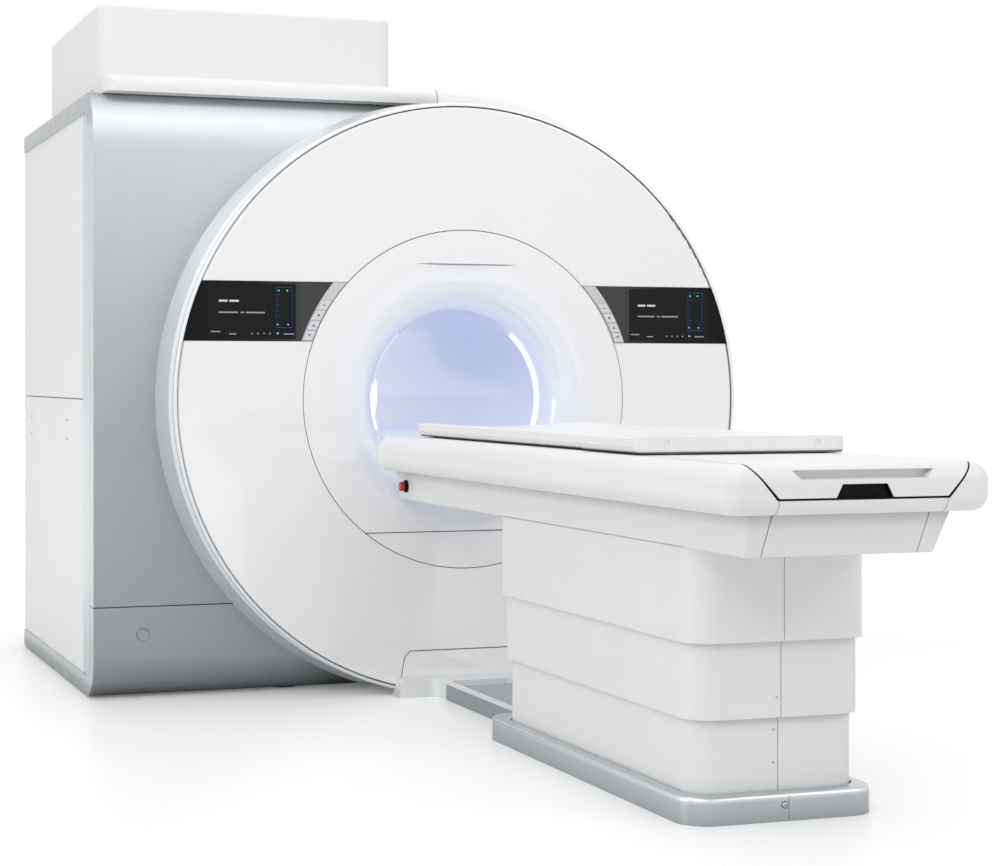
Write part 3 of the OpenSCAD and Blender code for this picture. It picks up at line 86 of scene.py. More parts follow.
class Finish:
    """A procedural material, built up step by step."""

    def __init__(self, name, roughness=0.4, metallic=0.0, specular=0.5, coat=0.0, coat_roughness=0.05):
        self.material = bpy.data.materials.new(name)
        self.material.use_nodes = True
        self.tree = self.material.node_tree
        self.shader = self.tree.nodes["Principled BSDF"]
        self.shader.inputs["Roughness"].default_value = roughness
        self.shader.inputs["Metallic"].default_value = metallic
        self.shader.inputs["Specular IOR Level"].default_value = specular
        self.shader.inputs["Coat Weight"].default_value = coat
        self.shader.inputs["Coat Roughness"].default_value = coat_roughness
        self.place = self.add("ShaderNodeTexCoord").outputs["Object"]
        self.normal = None

    def add(self, kind, **settings):
        node = self.tree.nodes.new(kind)
        for key, value in settings.items():
            setattr(node, key, value)
        return node

    def link(self, a, b):
        self.tree.links.new(a, b)

    def noise(self, scale, detail=2.0, stretch=None):
        node = self.add("ShaderNodeTexNoise")
        node.inputs["Scale"].default_value = scale
        node.inputs["Detail"].default_value = detail
        self.link(self.stretched(stretch), node.inputs["Vector"])
        return node.outputs["Fac"]

    def cells(self, scale):
        node = self.add("ShaderNodeTexVoronoi")
        node.inputs["Scale"].default_value = scale
        self.link(self.place, node.inputs["Vector"])
        return node.outputs["Color"]

    def stretched(self, factors):
        if factors is None:
            return self.place
        node = self.add("ShaderNodeVectorMath", operation="MULTIPLY")
        node.inputs[1].default_value = factors
        self.link(self.place, node.inputs[0])
        return node.outputs["Vector"]

    def ramp(self, source, stops):
        node = self.add("ShaderNodeValToRGB")
        ramp = node.color_ramp
        while len(ramp.elements) < len(stops):
            ramp.elements.new(0.5)
        for element, (at, colour) in zip(ramp.elements, stops):
            element.position = at
            element.color = colour
        self.link(source, node.inputs["Fac"])
        return node.outputs["Color"]

    def spread(self, source, low, high, to_low=0.0, to_high=1.0):
        node = self.add("ShaderNodeMapRange")
        for socket, value in zip(("From Min", "From Max", "To Min", "To Max"), (low, high, to_low, to_high)):
            node.inputs[socket].default_value = value
        self.link(source, node.inputs["Value"])
        return node.outputs["Result"]

    def part(self, letter):
        node = self.add("ShaderNodeSeparateXYZ")
        self.link(self.place, node.inputs["Vector"])
        return node.outputs[letter]

    def times(self, a, b):
        node = self.add("ShaderNodeMath", operation="MULTIPLY")
        self.link(a, node.inputs[0])
        self.link(b, node.inputs[1])
        return node.outputs[0]

    def height_ramp(self, low, high, stops):
        """Colour by height, with stops from 0 at low to 1 at high, both in metres above the floor."""
        return self.ramp(self.spread(self.part("Z"), low, high), stops)

    def sideways(self):
        """Distance from the middle plane."""
        node = self.add("ShaderNodeMath", operation="ABSOLUTE")
        self.link(self.part("X"), node.inputs[0])
        return node.outputs[0]

    def from_bore(self):
        """Distance from the bore axis."""
        flat = self.add("ShaderNodeVectorMath", operation="MULTIPLY_ADD")
        flat.inputs[1].default_value = (1, 0, 1)
        flat.inputs[2].default_value = (0, 0, -ISO_Z)
        self.link(self.place, flat.inputs[0])
        length = self.add("ShaderNodeVectorMath", operation="LENGTH")
        self.link(flat.outputs["Vector"], length.inputs[0])
        return length.outputs["Value"]

    def mixed(self, factor, a, b, kind="MIX"):
        node = self.add("ShaderNodeMix", data_type="RGBA", blend_type=kind)
        for socket, value in ((node.inputs[0], factor), (node.inputs[6], a), (node.inputs[7], b)):
            if isinstance(value, bpy.types.NodeSocket):
                self.link(value, socket)
            else:
                socket.default_value = value
        return node.outputs[2]

    def colour(self, base, cloud=0.02, cloud_scale=1.6):
        """Base colour, clouded a little lighter and darker over the surface."""
        low = (1 - 2 * cloud,) * 3 + (1.0,)
        cloudy = self.ramp(self.noise(cloud_scale, 4.0), [(0.35, low), (0.65, (1, 1, 1, 1))])
        self.link(self.mixed(1.0, base, cloudy, "MULTIPLY"), self.shader.inputs["Base Color"])
        return self

    def rough(self, low, high, scale=30.0, stretch=None):
        self.link(self.spread(self.noise(scale, 3.0, stretch), 0.3, 0.7, low, high),
                  self.shader.inputs["Roughness"])
        return self

    def soft_edges(self, radius):
        node = self.add("ShaderNodeBevel", samples=4)
        node.inputs["Radius"].default_value = radius
        self.normal = node.outputs["Normal"]
        self.link(self.normal, self.shader.inputs["Normal"])
        return self

    def bumps(self, source, strength, depth):
        node = self.add("ShaderNodeBump")
        node.inputs["Strength"].default_value = strength
        node.inputs["Distance"].default_value = depth
        self.link(source, node.inputs["Height"])
        if self.normal is not None:
            self.link(self.normal, node.inputs["Normal"])
        self.normal = node.outputs["Normal"]
        self.link(self.normal, self.shader.inputs["Normal"])
        return self

    def glow(self, colour, strength):
        if isinstance(colour, bpy.types.NodeSocket):
            self.link(colour, self.shader.inputs["Emission Color"])
        else:
            self.shader.inputs["Emission Color"].default_value = colour
        self.shader.inputs["Emission Strength"].default_value = strength
        return self


def moulded(name, code, roughness, grain_scale=900.0, grain=0.05, coat=0.0, cloud=0.015, edge=0.0025,
            specular=0.5):
    """Moulded plastic with a fine spark-eroded grain. The colour is a code or a function that makes one."""
    f = Finish(name, roughness, coat=coat, specular=specular)
    f.colour(code(f) if callable(code) else srgb(code), cloud)
    f.rough(roughness - 0.04, roughness + 0.05)
    f.soft_edges(edge)
    f.bumps(f.noise(grain_scale, 2.0), grain, 0.0004)
    return f


def coated(name, code, roughness, edge=0.003):
    """Powder coat: satin with a slight orange peel."""
    f = Finish(name, roughness)
    f.colour(srgb(code), 0.012)
    f.rough(roughness - 0.05, roughness + 0.05, 14.0)
    f.soft_edges(edge)
    f.bumps(f.noise(220.0, 1.0), 0.12, 0.0006)
    return f


def flaked(name, base, roughness=0.36, edge=0.004, metallic=0.75, peel=0.06):
    """Metallic lacquer: flakes under a clear coat. The base is a colour or a function that makes one."""
    f = Finish(name, roughness, metallic=metallic, coat=0.35, coat_roughness=0.12)
    body = base(f) if callable(base) else base
    flakes = f.mixed(0.05, (1, 1, 1, 1), f.cells(2600.0), "MULTIPLY")
    f.colour(f.mixed(1.0, body, flakes, "MULTIPLY"), 0.01)
    f.rough(roughness - 0.03, roughness + 0.05, 18.0)
    if edge:
        f.soft_edges(edge)
    f.bumps(f.noise(260.0, 1.0), peel, 0.0005)
    return f


def brushed(name, code, roughness, stretch=(40.0, 1.0, 1.0), edge=0.0015):
    """Metal with a directional brushed or drawn grain."""
    f = Finish(name, roughness, metallic=1.0)
    f.colour(srgb(code), 0.03, 6.0)
    f.rough(roughness - 0.08, roughness + 0.1, 30.0, stretch)
    f.soft_edges(edge)
    f.bumps(f.noise(30.0, 3.0, stretch), 0.12, 0.0004)
    return f


def silver_painted_shading(f):
    """Silver with painted light: painted shade that deepens towards the floor, a painted highlight along the
    bend near the top, and painted shade over the top and on the return along the left side.
    """
    # Front: painted shade low down and under the top cover, and a painted highlight on the upper bend.
    front = f.height_ramp(0.0, SILVER_TOP, [
        (0.0, srgb("84898c")), (0.03, srgb("979c9f")), (0.10, srgb("9fa4a7")), (0.42, srgb("a6aaad")),
        (0.65, srgb("b6babd")), (0.85, srgb("c4c8cb")), (0.955, srgb("ced2d5")),
        (0.985, srgb("abafb2")), (1.0, srgb("a0a4a7"))])
    # Return along the left side: painted shade near the floor and over the top.
    side = f.height_ramp(0.0, SILVER_TOP, [
        (0.0, srgb("777c80")), (0.018, srgb("8d9296")), (0.026, srgb("bcc1c4")),
        (0.935, srgb("c0c6c9")), (0.955, srgb("979ca0")), (1.0, srgb("a4a9ad"))])
    on_front = f.spread(f.part("X"), LEFT_RETURN_X - 0.0005, LEFT_RETURN_X + 0.0005)
    return f.mixed(on_front, side, front)


def base_lacquer_painted_highlight(f):
    """Silver with a painted highlight along its rounded upper edge."""
    # The light stops near the top are a painted highlight.
    return f.height_ramp(0.0, 0.072, [(0.0, srgb("a8adb0")), (0.7, srgb("bcc1c4")), (0.86, srgb("e2e6e9")),
                                      (0.96, srgb("c3c8cb")), (1.0, srgb("b6bbbe"))])


def painted_shadow_below(f):
    """Pale laminate with a painted shadow along its lower edge, where the gap under the cradle lies in
    shade.
    """
    # Painted shadow: dark below, pale above.
    return f.height_ramp(0.893, 0.913, [(0.0, srgb("4a4a4a")), (0.20, srgb("5a5a5a")),
                                        (0.30, srgb("e0e0e0")), (0.6, srgb("f1f1f1"))])


def dock_lacquer(f):
    """Pale silver, darker down the sides of the narrow part."""
    sides = f.times(f.spread(f.part("Z"), DOCK_TOP - 0.006, DOCK_TOP - 0.009),
                    f.spread(f.part("Y"), DOCK_END - 0.150, DOCK_END - 0.170))
    return f.mixed(sides, srgb("f0f2f3"), srgb("9a9fa2"))


def shaded_tray(f):
    """White with painted shade that greys it a little in the corner under the table's side."""
    return f.height_ramp(0.700, 0.776, [(0.0, srgb("eeeeee")), (0.5, srgb("ececec")), (1.0, srgb("bababa"))])


def recess_painted_shade(f):
    """White, with painted shade that turns it black inside the release recess."""
    deep = f.spread(f.part("Y"), CAP_FOOT_Y + 0.002, CAP_FOOT_Y + 0.003)
    low_enough = f.spread(f.part("Z"), RECESS_TOP + 0.0001, RECESS_TOP - 0.0004)
    middle = f.spread(f.sideways(), RECESS_HALF + 0.0002, RECESS_HALF - 0.0003)
    both = f.times(deep, low_enough)
    return f.mixed(f.times(both, middle), srgb("eeeeee"), srgb("0c0c0c"))


def screen_glass(f):
    """Near black, a little greyer towards the keypad."""
    return f.ramp(f.spread(f.sideways(), 0.58, 0.98),
                  [(0.0, srgb("484848")), (0.35, srgb("262627")), (1.0, srgb("121213"))])


def funnel_painted_glow(f):
    """White with a painted cool glow and a painted bluish tint near the bore, where the bore's light falls
    on it, and a painted shadow line under the brow.
    """
    out = f.spread(f.from_bore(), 0.30, 0.54)
    # Painted glow, strongest at the throat of the bore.
    shine = f.ramp(out, [(0.0, (0.15, 0.165, 0.20, 1)), (0.18, (0.09, 0.10, 0.125, 1)),
                         (0.45, (0.03, 0.033, 0.04, 1)), (0.8, (0, 0, 0, 1))])
    f.glow(shine, 1.0)
    # Painted bluish tint of the bore's light near the throat.
    white = f.ramp(out, [(0.0, srgb("e4e8f5")), (0.3, srgb("edf0f5")), (1.0, srgb("f4f4f5"))])
    # Painted shadow line just under the brow, fading towards its ends.
    under_brow = f.times(f.spread(f.part("Z"), BROW_Z - 0.0030, BROW_Z - 0.0026),
                         f.spread(f.part("Z"), BROW_Z + 0.0006, BROW_Z + 0.0002))
    brow = f.times(under_brow, f.spread(f.sideways(), BROW_HALF, BROW_HALF - 0.05))
    return f.mixed(brow, white, srgb("808386"))


def strip_lamp(name):
    """Diffuser that shines all along on the right and in its lower half on the left."""
    f = Finish(name, 0.5)
    f.colour(srgb("eef1f8"), 0.01)
    dim = (0.10, 0.11, 0.14, 1)
    left_off = f.times(f.spread(f.part("X"), 0.001, -0.001),
                       f.spread(f.part("Z"), ISO_Z + 0.02, ISO_Z + 0.06))
    right_off = f.times(f.spread(f.part("X"), -0.001, 0.001), f.spread(f.from_bore(), 0.3080, 0.3070))
    f.glow(f.mixed(right_off, f.mixed(left_off, (1, 1, 1, 1), dim), (0.32, 0.35, 0.42, 1)), 1.2)
    return f


def bore_painted_glow(name):
    """Pale blue lining, darker and bluer towards the top, with a painted glow in the same colour that stands
    in for the light inside the bore.
    """
    f = Finish(name, 0.3, coat=0.2)
    blue = f.height_ramp(0.75, 1.31, [(0.0, srgb("dcdfe9")), (0.4, srgb("ccd1e1")), (1.0, srgb("bac1d8"))])
    f.colour(blue, 0.01)
    # Painted glow: the lining gives off its own colour as light.
    f.glow(blue, 0.31)
    f.bumps(f.noise(160.0, 1.0), 0.05, 0.0004)
    return f


# Every finish by its name.
FINISH = {
    "white_paint": coated("white_powder_coat", "eceded", 0.42),
    "turret": coated("turret_powder_coat", "ececec", 0.5, 0.006),
    "strip": flaked("corner_strip_lacquer", srgb("c8ced1"), 0.36, peel=0.02),
    "silver": flaked("silver_front_lacquer", silver_painted_shading, 0.38, peel=0.015),
    "ring": flaked("ring_lacquer", srgb("e6eaec"), 0.42, 0, 0.55, 0.01),
    "base": flaked("table_base_lacquer", base_lacquer_painted_highlight, 0.32, 0, 0.8, 0.006),
    "dock": flaked("floor_dock_lacquer", dock_lacquer, 0.42, 0, 0.3, 0.006),
    "gloss_white": moulded("disc_gloss_moulding", "f3f3f4", 0.09, 420.0, 0.004, 1.0, 0.008, 0.003, 1.0),
    "funnel": moulded("funnel_gloss_moulding", funnel_painted_glow, 0.14, 420.0, 0.01, 0.8, 0.008, 0.003, 0.8),
    "table_white": moulded("table_moulding", "eeeeee", 0.36, 1100.0, 0.06),
    "column": moulded("column_moulding", "ebebeb", 0.45, 1100.0, 0.08),
    "cradle": moulded("cradle_laminate", painted_shadow_below, 0.4, 700.0, 0.08, edge=0.004),
    "tray": moulded("tray_moulding", shaded_tray, 0.36, 1100.0, 0.06),
    "cap": moulded("end_cap_moulding", recess_painted_shade, 0.36, 1100.0, 0.06),
    "bore": bore_painted_glow("bore_lining"),
    "lamp": strip_lamp("lamp_diffuser"),
    "glass": moulded("display_glass", screen_glass, 0.14, 60.0, 0.004, 0.0, 0.02, 0.0015, 0.1),
    "keypad": moulded("keypad_moulding", "cfcfd3", 0.42, 900.0, 0.05),
    "key": moulded("key_rubber", "dcdce0", 0.5, 1200.0, 0.1, edge=0.0015),
    "black": moulded("black_moulding", "0b0b0b", 0.4, 900.0, 0.12, edge=0.001, specular=0.1),
    "red": moulded("stop_button_moulding", "b01818", 0.26, 500.0, 0.05, 0.3, 0.02, 0.002),
    "bare": brushed("anodised_aluminium", "b4b6b9", 0.34, (1.0, 0.05, 30.0)),
    "frame": coated("frame_paint", "3a3c3e", 0.5),
    "vessel": brushed("vessel_steel", "a9abad", 0.3, (1.0, 24.0, 1.0)),
    "carrier": coated("carrier_primer", "4a4c4e", 0.6),
    "resin": moulded("coil_resin", "7a5a34", 0.4, 90.0, 0.2, cloud=0.1),
    "detector": moulded("detector_casing", "2c4446", 0.45, 500.0, 0.1, cloud=0.05),
}

# The nodes that wear each finish.
SHOWN = {
    "frame": ["base_frame"],
    "vessel": ["magnet_vessel", "cold_head"],
    "resin": ["gradient_coil", "body_coil"],
    "detector": ["detector_ring"],
    "bore": ["bore_tube", "bore_bridge"],
    "funnel": ["bore_funnel", "funnel_lower_panel", "rear_funnel"],
    "silver": ["front_upper_shell", "front_lower_shell", "service_plug"],
    "ring": ["ring_bezel"],
    "base": ["table_base"],
    "dock": ["floor_dock"],
    "strip": ["corner_strip"],
    "white_paint": ["left_upper_panel", "left_lower_panel", "top_cover_left", "top_cover_right",
                    "right_side_cover", "rear_cover"],
    "turret": ["turret_cover"],
    "carrier": ["front_carrier"],
    "gloss_white": ["face_upper", "face_lower", "dock_cover"],
    "lamp": ["light_strips"],
    "glass": ["screen_left", "screen_right"],
    "keypad": ["keypad_left", "keypad_right"],
    "key": [n for n in NODES if n.startswith("key_")],
    "bare": ["base_screw", "cradle_rails", "lift_tube_fixed", "lift_tube_mid", "lift_tube_top"],
    "column": ["lower_shell", "mid_shell", "upper_shell"],
    "tray": ["tray", "tray_end_panel"],
    "table_white": ["table_body"],
    "cap": ["end_cap"],
    "cradle": ["cradle"],
    "black": ["release_lever", "estop_collars"],
    "red": ["estop_left", "estop_right"],
}


def dress_nodes():
    for look, names in SHOWN.items():
        for name in names:
            mesh = NODES[name].data
            mesh.materials.clear()
            mesh.materials.append(FINISH[look].material)
    left_out = [n for n in NODES if not any(n in names for names in SHOWN.values())]
    if left_out:
        raise ValueError(f"no finish for {left_out}")


# Mesh helpers

def piece(name, bm, look, body, smooth=False):
    """Turns a bmesh into a piece of the object that rides on a body."""
    bmesh.ops.recalc_face_normals(bm, faces=bm.faces)
    mesh = bpy.data.meshes.new(name)
    bm.to_mesh(mesh)
    bm.free()
    if smooth:
        mesh.shade_smooth()
    mesh.materials.append(FINISH[look].material)
    obj = bpy.data.objects.new(name, mesh)
    bpy.context.scene.collection.objects.link(obj)
    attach(obj, body)
    return obj


def plate(bm, outline, y_front, thickness):
    """Thin plate from an outline of (x, z) points, facing -Y, with its front face at y_front."""
    front = [bm.verts.new((x, y_front, z)) for x, z in outline]
    back = [bm.verts.new((x, y_front + thickness, z)) for x, z in outline]
    bm.faces.new(front)
    bm.faces.new(back[::-1])
    for i in range(len(outline)):
        j = (i + 1) % len(outline)
        bm.faces.new((front[j], front[i], back[i], back[j]))


def rounded(x0, z0, x1, z1, radius, steps=5):
    """Outline of a rectangle with round corners."""
    points = []
    for cx, cz, start in ((x1 - radius, z1 - radius, 0), (x0 + radius, z1 - radius, 90),
                          (x0 + radius, z0 + radius, 180), (x1 - radius, z0 + radius, 270)):
        for k in range(steps + 1):
            a = math.radians(start + 90 * k / steps)
            points.append((cx + radius * math.cos(a), cz + radius * math.sin(a)))
    return points


def disc(cx, cz, radius, steps=20):
    return [(cx + radius * math.cos(2 * math.pi * k / steps),
             cz + radius * math.sin(2 * math.pi * k / steps)) for k in range(steps)]


def lathe(bm, profile, at, direction, steps=24):
    """Turns a profile of (radius, height) points about an axis that starts at a point."""
    turn = Vector((0, 0, 1)).rotation_difference(Vector(direction)).to_matrix().to_4x4()
    place = Matrix.Translation(at) @ turn
    rings = []
    for radius, height in profile:
        if radius < 1e-6:
            rings.append([bm.verts.new(place @ Vector((0, 0, height)))])
        else:
            rings.append([bm.verts.new(place @ Vector((radius * math.cos(2 * math.pi * k / steps),
                                                       radius * math.sin(2 * math.pi * k / steps), height)))
                          for k in range(steps)])
    for a, b in zip(rings, rings[1:]):
        for k in range(steps):
            corners = [a[k % len(a)], a[(k + 1) % len(a)], b[(k + 1) % len(b)], b[k % len(b)]]
            unique = list(dict.fromkeys(corners))
            if len(unique) > 2:
                bm.faces.new(unique)


# Section of a screw's head as (radius, height), both in radii of the head.
SCREW = [(0, -0.9), (0.42, -0.9), (0.42, -0.25), (0.55, -0.18), (0.8, -0.22), (0.95, -0.45), (1.0, -0.8),
         (1.0, -1.6)]


def screws(name, points, direction, radius, look, body):
    """Button-head screws, each with a socket in its head, which stands a little proud of its point."""
    bm = bmesh.new()
    for at in points:
        lathe(bm, [(r * radius, (h + 0.65) * radius) for r, h in SCREW], at, direction)
    return piece(name, bm, look, body, True)


# Displays and keys

def display_finish(name, code, strength):
    f = Finish(name, 0.35, specular=0.15)
    f.colour(srgb(code), 0.02, 40.0)
    f.glow(srgb(code), strength)
    return f


FINISH["display_back"] = display_finish("display_backlight", "0f1011", 0.2)
FINISH["display_bar"] = display_finish("display_pale", "b4b8bd", 0.5)
FINISH["display_line"] = display_finish("display_grey", "84888d", 0.5)
FINISH["display_rim"] = display_finish("display_rim", "26272a", 0.3)
FINISH["key_ink"] = display_finish("key_ink", "7e8186", 0.0)
FINISH["display_blue"] = display_finish("display_blue", "2b4a80", 0.5)
FINISH["display_green"] = display_finish("display_green", "48b070", 0.8)


def show_display(side, x0, x1):
    """A generic display: a lit field, a few bars, a bed position gauge and a row of status marks."""
    z0, z1 = SCREEN_FOOT, SCREEN_HEAD
    wide = x1 - x0
    tall = z1 - z0

    def spot(u, v):
        return x0 + u * wide, z0 + v * tall

    def layer(name, look, outlines, step):
        bm = bmesh.new()
        for outline in outlines:
            plate(bm, outline, SCREEN_Y - step * PROUD, step * PROUD)
        piece(f"display_{side}_{name}", bm, look, "gantry")

    def bar(u0, v0, u1, v1, radius=0.0012):
        (ax, az), (bx, bz) = spot(u0, v0), spot(u1, v1)
        return rounded(ax, az, bx, bz, radius, 3)

    # Shapes are placed by fractions of the field's width and height.
    layer("field", "display_back", [rounded(x0, z0, x1, z1, 0.004)], 1)
    rim = [bar(0.0, 0.0, 1.0, 0.008), bar(0.0, 0.992, 1.0, 1.0), bar(0.0, 0.0, 0.006, 1.0),
           bar(0.994, 0.0, 1.0, 1.0)]
    layer("rim", "display_rim", rim, 2)
    layer("bars", "display_bar", [bar(0.11, 0.665, 0.21, 0.70), bar(0.23, 0.665, 0.34, 0.70)], 2)
    layer("words", "display_line", [bar(0.11, 0.46, 0.33, 0.485), bar(0.36, 0.46, 0.40, 0.485),
                                    bar(0.42, 0.46, 0.64, 0.485)], 2)
    gauge = [bar(0.77, 0.20, 0.775, 0.94), bar(0.955, 0.20, 0.96, 0.94), bar(0.77, 0.935, 0.96, 0.945),
             bar(0.77, 0.20, 0.96, 0.21)]
    ticks = [bar(0.785, 0.30 + 0.1 * k, 0.80 + 0.02 * (k % 2), 0.308 + 0.1 * k, 0.0004) for k in range(6)]
    layer("gauge", "display_blue", gauge + ticks, 2)
    marks = [disc(*spot(u, 0.09), 0.0026) for u in (0.49, 0.56, 0.63, 0.70)]
    layer("marks", "display_line", marks + [bar(0.02, 0.11, 0.13, 0.13, 0.0006),
                                            bar(0.23, 0.07, 0.31, 0.09, 0.0006),
                                            bar(0.86, 0.075, 0.98, 0.095, 0.0006)], 2)
    layer("lights", "display_green", [disc(*spot(0.80, 0.88), 0.003), disc(*spot(0.90, 0.88), 0.003)], 2)
    layer("dots", "display_bar", [disc(*spot(0.79, 0.26), 0.0024), disc(*spot(0.91, 0.26), 0.0024),
                                  disc(*spot(0.79, 0.095), 0.003)], 2)


def key_signs():
    """A plain printed sign on each key: arrows, a lamp and a bar."""
    half = 0.0062
    for side in ("left", "right"):
        for i in range(1, 5):
            low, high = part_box(f"key_{side}_{i}")
            cx, cz = (low.x + high.x) / 2, (low.z + high.z) / 2
            shapes = {
                1: [[(cx - half, cz + half * 0.7), (cx, cz - half * 0.8), (cx + half, cz + half * 0.7)]],
                2: [[(cx - half, cz - half * 0.7), (cx + half, cz - half * 0.7), (cx, cz + half * 0.8)]],
                3: [disc(cx, cz, half * 0.75, 24)],
                4: [rounded(cx - half, cz - half * 0.25, cx + half, cz + half * 0.25, half * 0.2, 3)],
            }[i]
            bm = bmesh.new()
            for outline in shapes:
                plate(bm, outline, KEY_Y - PROUD, PROUD)
            piece(f"key_sign_{side}_{i}", bm, "key_ink", f"button_key_{side}_{i}")


# Small pieces

def dock_mat():
    """Ribbed rubber mat in the recess of the floor dock."""
    low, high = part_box("floor_dock")
    z = high.z - 0.022
    half = 0.100
    y0, y1 = low.y + 0.030, high.y - 0.142
    bm = bmesh.new()
    count = 46
    pitch = (y1 - y0) / count
    valley, crest = 0.0015, 0.0045
    ribs = []
    for k in range(count):
        y = y0 + k * pitch
        ribs += [(y, valley), (y + pitch * 0.15, crest), (y + pitch * 0.55, crest),
                 (y + pitch * 0.7, valley)]
    ribs.append((y1, valley))
    top = [[bm.verts.new((s * half, y, z + h)) for y, h in ribs] for s in (-1, 1)]
    bottom = [[bm.verts.new((s * half, y, z)) for y in (y0, y1)] for s in (-1, 1)]
    for k in range(len(ribs) - 1):
        bm.faces.new((top[0][k], top[1][k], top[1][k + 1], top[0][k + 1]))
    for s in (0, 1):
        bm.faces.new([bottom[s][0]] + top[s] + [bottom[s][1]])
    bm.faces.new((bottom[0][0], bottom[1][0], top[1][0], top[0][0]))
    bm.faces.new((bottom[0][1], top[0][-1], top[1][-1], bottom[1][1]))
    bm.faces.new((bottom[0][0], bottom[0][1], bottom[1][1], bottom[1][0]))
    piece("dock_mat", bm, "mat", "gantry")


FINISH["mat"] = moulded("dock_mat_rubber", "b9bdc0", 0.55, 700.0, 0.2)


def bend(low, knee, top, t):
    """Point at t on the curve from low to top that is drawn towards knee."""
    return tuple((1 - t) ** 2 * a + 2 * t * (1 - t) * b + t * t * c for a, b, c in zip(low, knee, top))


def cap_gasket():
    """Dark gasket that lies in the gap round the end cap, a little below the surface."""
    low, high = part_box("table_body")
    foot, floor_z, top_z = low.y, low.z, high.z
    round_top, round_low = 0.046, 0.040
    sunk, depth = 0.0018, 0.003
    steps = 24

    def set_back(z):
        """How far the rounded foot end lies behind its foremost plane at a height."""
        over = max(z - (top_z - round_top), 0)
        under = max(floor_z + round_low - z, 0)
        behind_top = round_top - math.sqrt(max(round_top ** 2 - over ** 2, 0))
        behind_low = round_low - math.sqrt(max(round_low ** 2 - under ** 2, 0))
        return behind_top + behind_low

    def line(g):
        """One side of the gap as (x, y, z) points, set in by g from its outer line."""
        # The curve from the foot of the cap to the deck, from the middle and from the table's underside.
        start = (0.223 - g, floor_z + 0.034 + g)
        knee = (0.276 - g, floor_z + 0.096)
        end = (0.294 - g, top_z - sunk)
        curve = [bend(start, knee, end, (k / steps) ** 0.8) for k in range(steps + 1)]
        side = [(x, foot + sunk + set_back(min(z, top_z - 0.002)), z) for x, z in curve]
        side += [(end[0], foot + run, end[1]) for run in (0.30, 0.62)]
        return [(-x, y, z) for x, y, z in reversed(side)] + side

    outer, inner = line(0.0004), line(0.0046)
    bm = bmesh.new()
    rows = []
    for points, sink in ((outer, 0.0), (inner, 0.0), (inner, depth), (outer, depth)):
        last = len(points) - 1
        deck = [k < 2 or k > last - 2 for k in range(last + 1)]
        rows.append([bm.verts.new((x, y if d else y + sink, z - sink if d else z))
                     for (x, y, z), d in zip(points, deck)])
    for a, b in zip(rows, rows[1:] + rows[:1]):
        for k in range(len(a) - 1):
            bm.faces.new((a[k], a[k + 1], b[k + 1], b[k]))
    bm.faces.new([row[0] for row in rows])
    bm.faces.new([row[-1] for row in reversed(rows)])
    piece("cap_gasket", bm, "black", "table_top")


def ledge_trim():
    """Silver plate that closes the ledge between the lower front and the right cover."""
    low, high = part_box("front_lower_shell")
    top = high.z - 0.0015
    bm = bmesh.new()
    plate(bm, [(0.80, top - 0.003), (high.x - 0.004, top - 0.003), (high.x - 0.004, top), (0.80, top)],
          low.y + 0.002, 0.0665)
    piece("ledge_trim", bm, "strip", "gantry")


def rear_hatch():
    """Service hatch with louvres, low on the rear cover."""
    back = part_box("rear_cover")[1].y
    bm = bmesh.new()
    plate(bm, rounded(-1.03, 0.29, -0.57, 0.87, 0.02), back, HATCH_PROUD)
    piece("rear_hatch", bm, "turret", "gantry")
    bm = bmesh.new()
    for k in range(12):
        z = 0.46 + 0.022 * k
        plate(bm, rounded(-0.95, z, -0.65, z + 0.009, 0.004, 3), back + HATCH_PROUD, 0.0006)
    piece("rear_louvres", bm, "carrier", "gantry")


def fasteners():
    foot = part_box("lower_shell")[0].y
    mid_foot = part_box("mid_shell")[0].y
    screws("column_screws_low", [(-0.012, foot, 0.218), (-0.012, foot, 0.137)], (0, -1, 0), 0.0032, "bare",
           "gantry")
    screws("column_screws_mid", [(-0.012, mid_foot, 0.300)], (0, -1, 0), 0.0032, "bare", "column_middle")
    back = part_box("rear_cover")[1].y
    corners = [(x, back, z) for x in (-1.15, 0.98) for z in (0.12, 0.62, 1.12)]
    corners += [(-1.15, back, z) for z in (1.62, 1.96)]
    screws("rear_cover_screws", corners, (0, 1, 0), 0.007, "bare", "gantry")
    hatch = [(x, back, z) for x in (-1.00, -0.60) for z in (0.32, 0.84)]
    screws("rear_hatch_screws", [(x, y + HATCH_PROUD, z) for x, y, z in hatch], (0, 1, 0), 0.005, "bare",
           "gantry")
    low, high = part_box("turret_cover")
    side = [(low.x, low.y + 0.12 + k * 0.28, low.z + 0.03) for k in range(4)]
    screws("turret_screws_left", side, (-1, 0, 0), 0.006, "bare", "gantry")
    screws("turret_screws_right", [(high.x, y, z) for x, y, z in side], (1, 0, 0), 0.006, "bare", "gantry")


# Light, floor and camera

def background(tree, strength):
    """Socket that is 1 for rays that see the background as white, and the strength for the rest."""
    path = tree.nodes.new("ShaderNodeLightPath")
    shown = tree.nodes.new("ShaderNodeMath")
    shown.operation = "MAXIMUM"
    tree.links.new(path.outputs["Is Camera Ray"], shown.inputs[0])
    clear = tree.nodes.new("ShaderNodeMath")
    clear.operation = "MAXIMUM"
    tree.links.new(path.outputs["Is Glossy Ray"], clear.inputs[0])
    tree.links.new(path.outputs["Is Transmission Ray"], clear.inputs[1])
    tree.links.new(clear.outputs[0], shown.inputs[1])
    out = tree.nodes.new("ShaderNodeMapRange")
    out.inputs["To Min"].default_value = strength
    out.inputs["To Max"].default_value = 1.0
    tree.links.new(shown.outputs[0], out.inputs["Value"])
    return out.outputs["Result"]


def make_world():
    world = bpy.data.worlds.new("studio")
    bpy.context.scene.world = world
    world.use_nodes = True
    tree = world.node_tree
    shade = tree.nodes["Background"]
    shade.inputs["Color"].default_value = (1, 1, 1, 1)
    tree.links.new(background(tree, WORLD_STRENGTH), shade.inputs["Strength"])


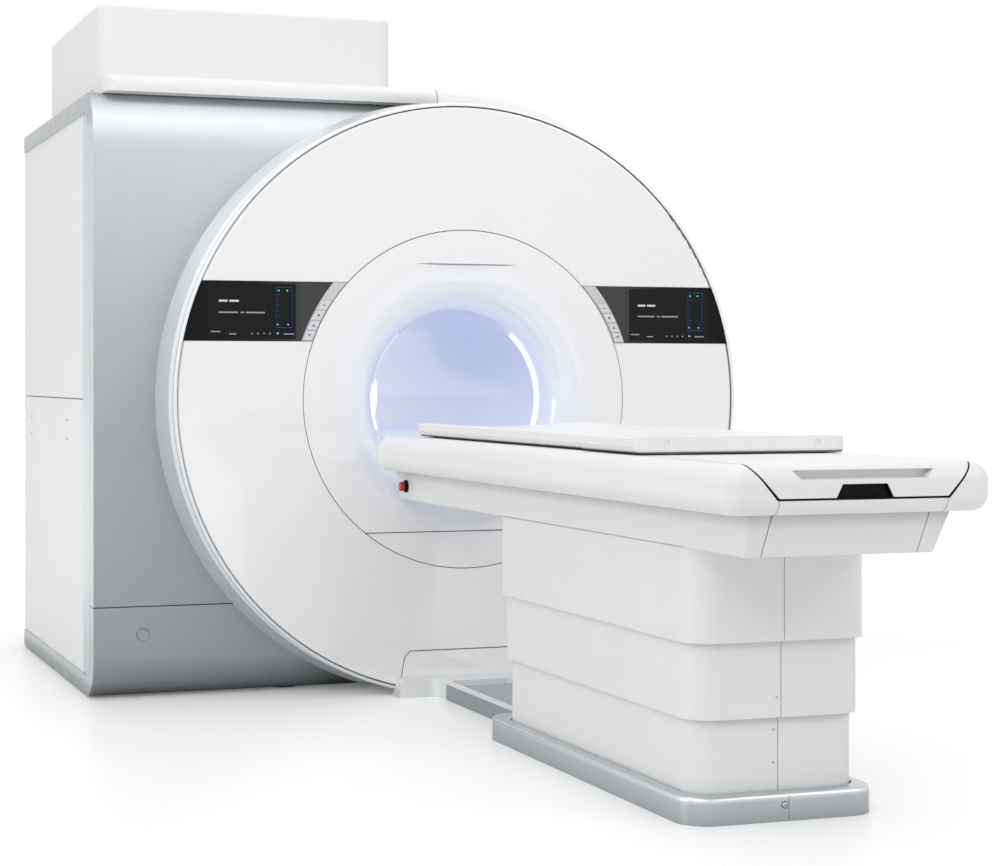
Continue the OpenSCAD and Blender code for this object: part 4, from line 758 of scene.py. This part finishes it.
def make_floor():
    """Pale floor that turns into the white background further out."""
    bm = bmesh.new()
    bmesh.ops.create_grid(bm, x_segments=1, y_segments=1, size=60)
    mesh = bpy.data.meshes.new("floor")
    bm.to_mesh(mesh)
    bm.free()
    f = Finish("pale_floor", 0.35, specular=0.35)
    reach = f.add("ShaderNodeVectorMath", operation="DISTANCE")
    reach.inputs[1].default_value = FLOOR_MIDDLE
    f.link(f.place, reach.inputs[0])
    away = f.spread(reach.outputs["Value"], *FLOOR_FADE)
    f.colour(f.mixed(away, srgb("f6f6f6"), (0, 0, 0, 1)), 0.004)
    f.glow((1, 1, 1, 1), 1.0)
    path = f.add("ShaderNodeLightPath")
    near = f.spread(path.outputs["Is Camera Ray"], 0.0, 1.0, 0.0, FLOOR_LIFT)
    strength = f.add("ShaderNodeMix", data_type="FLOAT")
    f.link(away, strength.inputs[0])
    f.link(near, strength.inputs[2])
    f.link(background(f.tree, WORLD_STRENGTH), strength.inputs[3])
    f.link(strength.outputs[0], f.shader.inputs["Emission Strength"])
    mesh.materials.append(f.material)
    floor = bpy.data.objects.new("floor", mesh)
    bpy.context.scene.collection.objects.link(floor)
    floor.location.z = -0.0002


def lamp(name, at, aim, size, watts, size_y=None):
    data = bpy.data.lights.new(name, "AREA")
    data.shape = "RECTANGLE"
    data.size = size
    data.size_y = size_y or size
    data.energy = watts
    obj = bpy.data.objects.new(name, data)
    obj.location = at
    obj.rotation_euler = (Vector(aim) - Vector(at)).to_track_quat("-Z", "Y").to_euler()
    bpy.context.scene.collection.objects.link(obj)


def make_camera():
    data = bpy.data.cameras.new("photo_camera")
    data.sensor_fit = "HORIZONTAL"
    data.sensor_width = 36
    data.lens = CAMERA_LENS
    data.shift_y = CAMERA_SHIFT_Y
    data.clip_end = 200
    obj = bpy.data.objects.new("photo_camera", data)
    obj.location = CAMERA_AT
    obj.rotation_euler = (math.pi / 2, 0, -CAMERA_YAW)
    bpy.context.scene.collection.objects.link(obj)
    bpy.context.scene.camera = obj


bpy.context.scene.view_settings.view_transform = "Standard"
dress_nodes()
show_display("left", -SCREEN_OUTER, -SCREEN_INNER)
show_display("right", SCREEN_INNER, SCREEN_OUTER)
key_signs()
dock_mat()
cap_gasket()
ledge_trim()
rear_hatch()
fasteners()
make_world()
make_floor()
lamp("overhead", (-0.5, -1.5, 6.0), (-0.2, -0.8, 0.5), 6.0, 122, 8.0)
lamp("front_left", (-5.0, -8.5, 6.0), (-0.5, -1.8, 0.9), 3.5, 150)
lamp("left", (-9.0, -1.5, 3.0), (-1.2, -1.0, 1.1), 4.0, 95)
lamp("front_right", (5.0, -7.5, 5.0), (0.3, -2.0, 0.8), 3.5, 90)
make_camera()
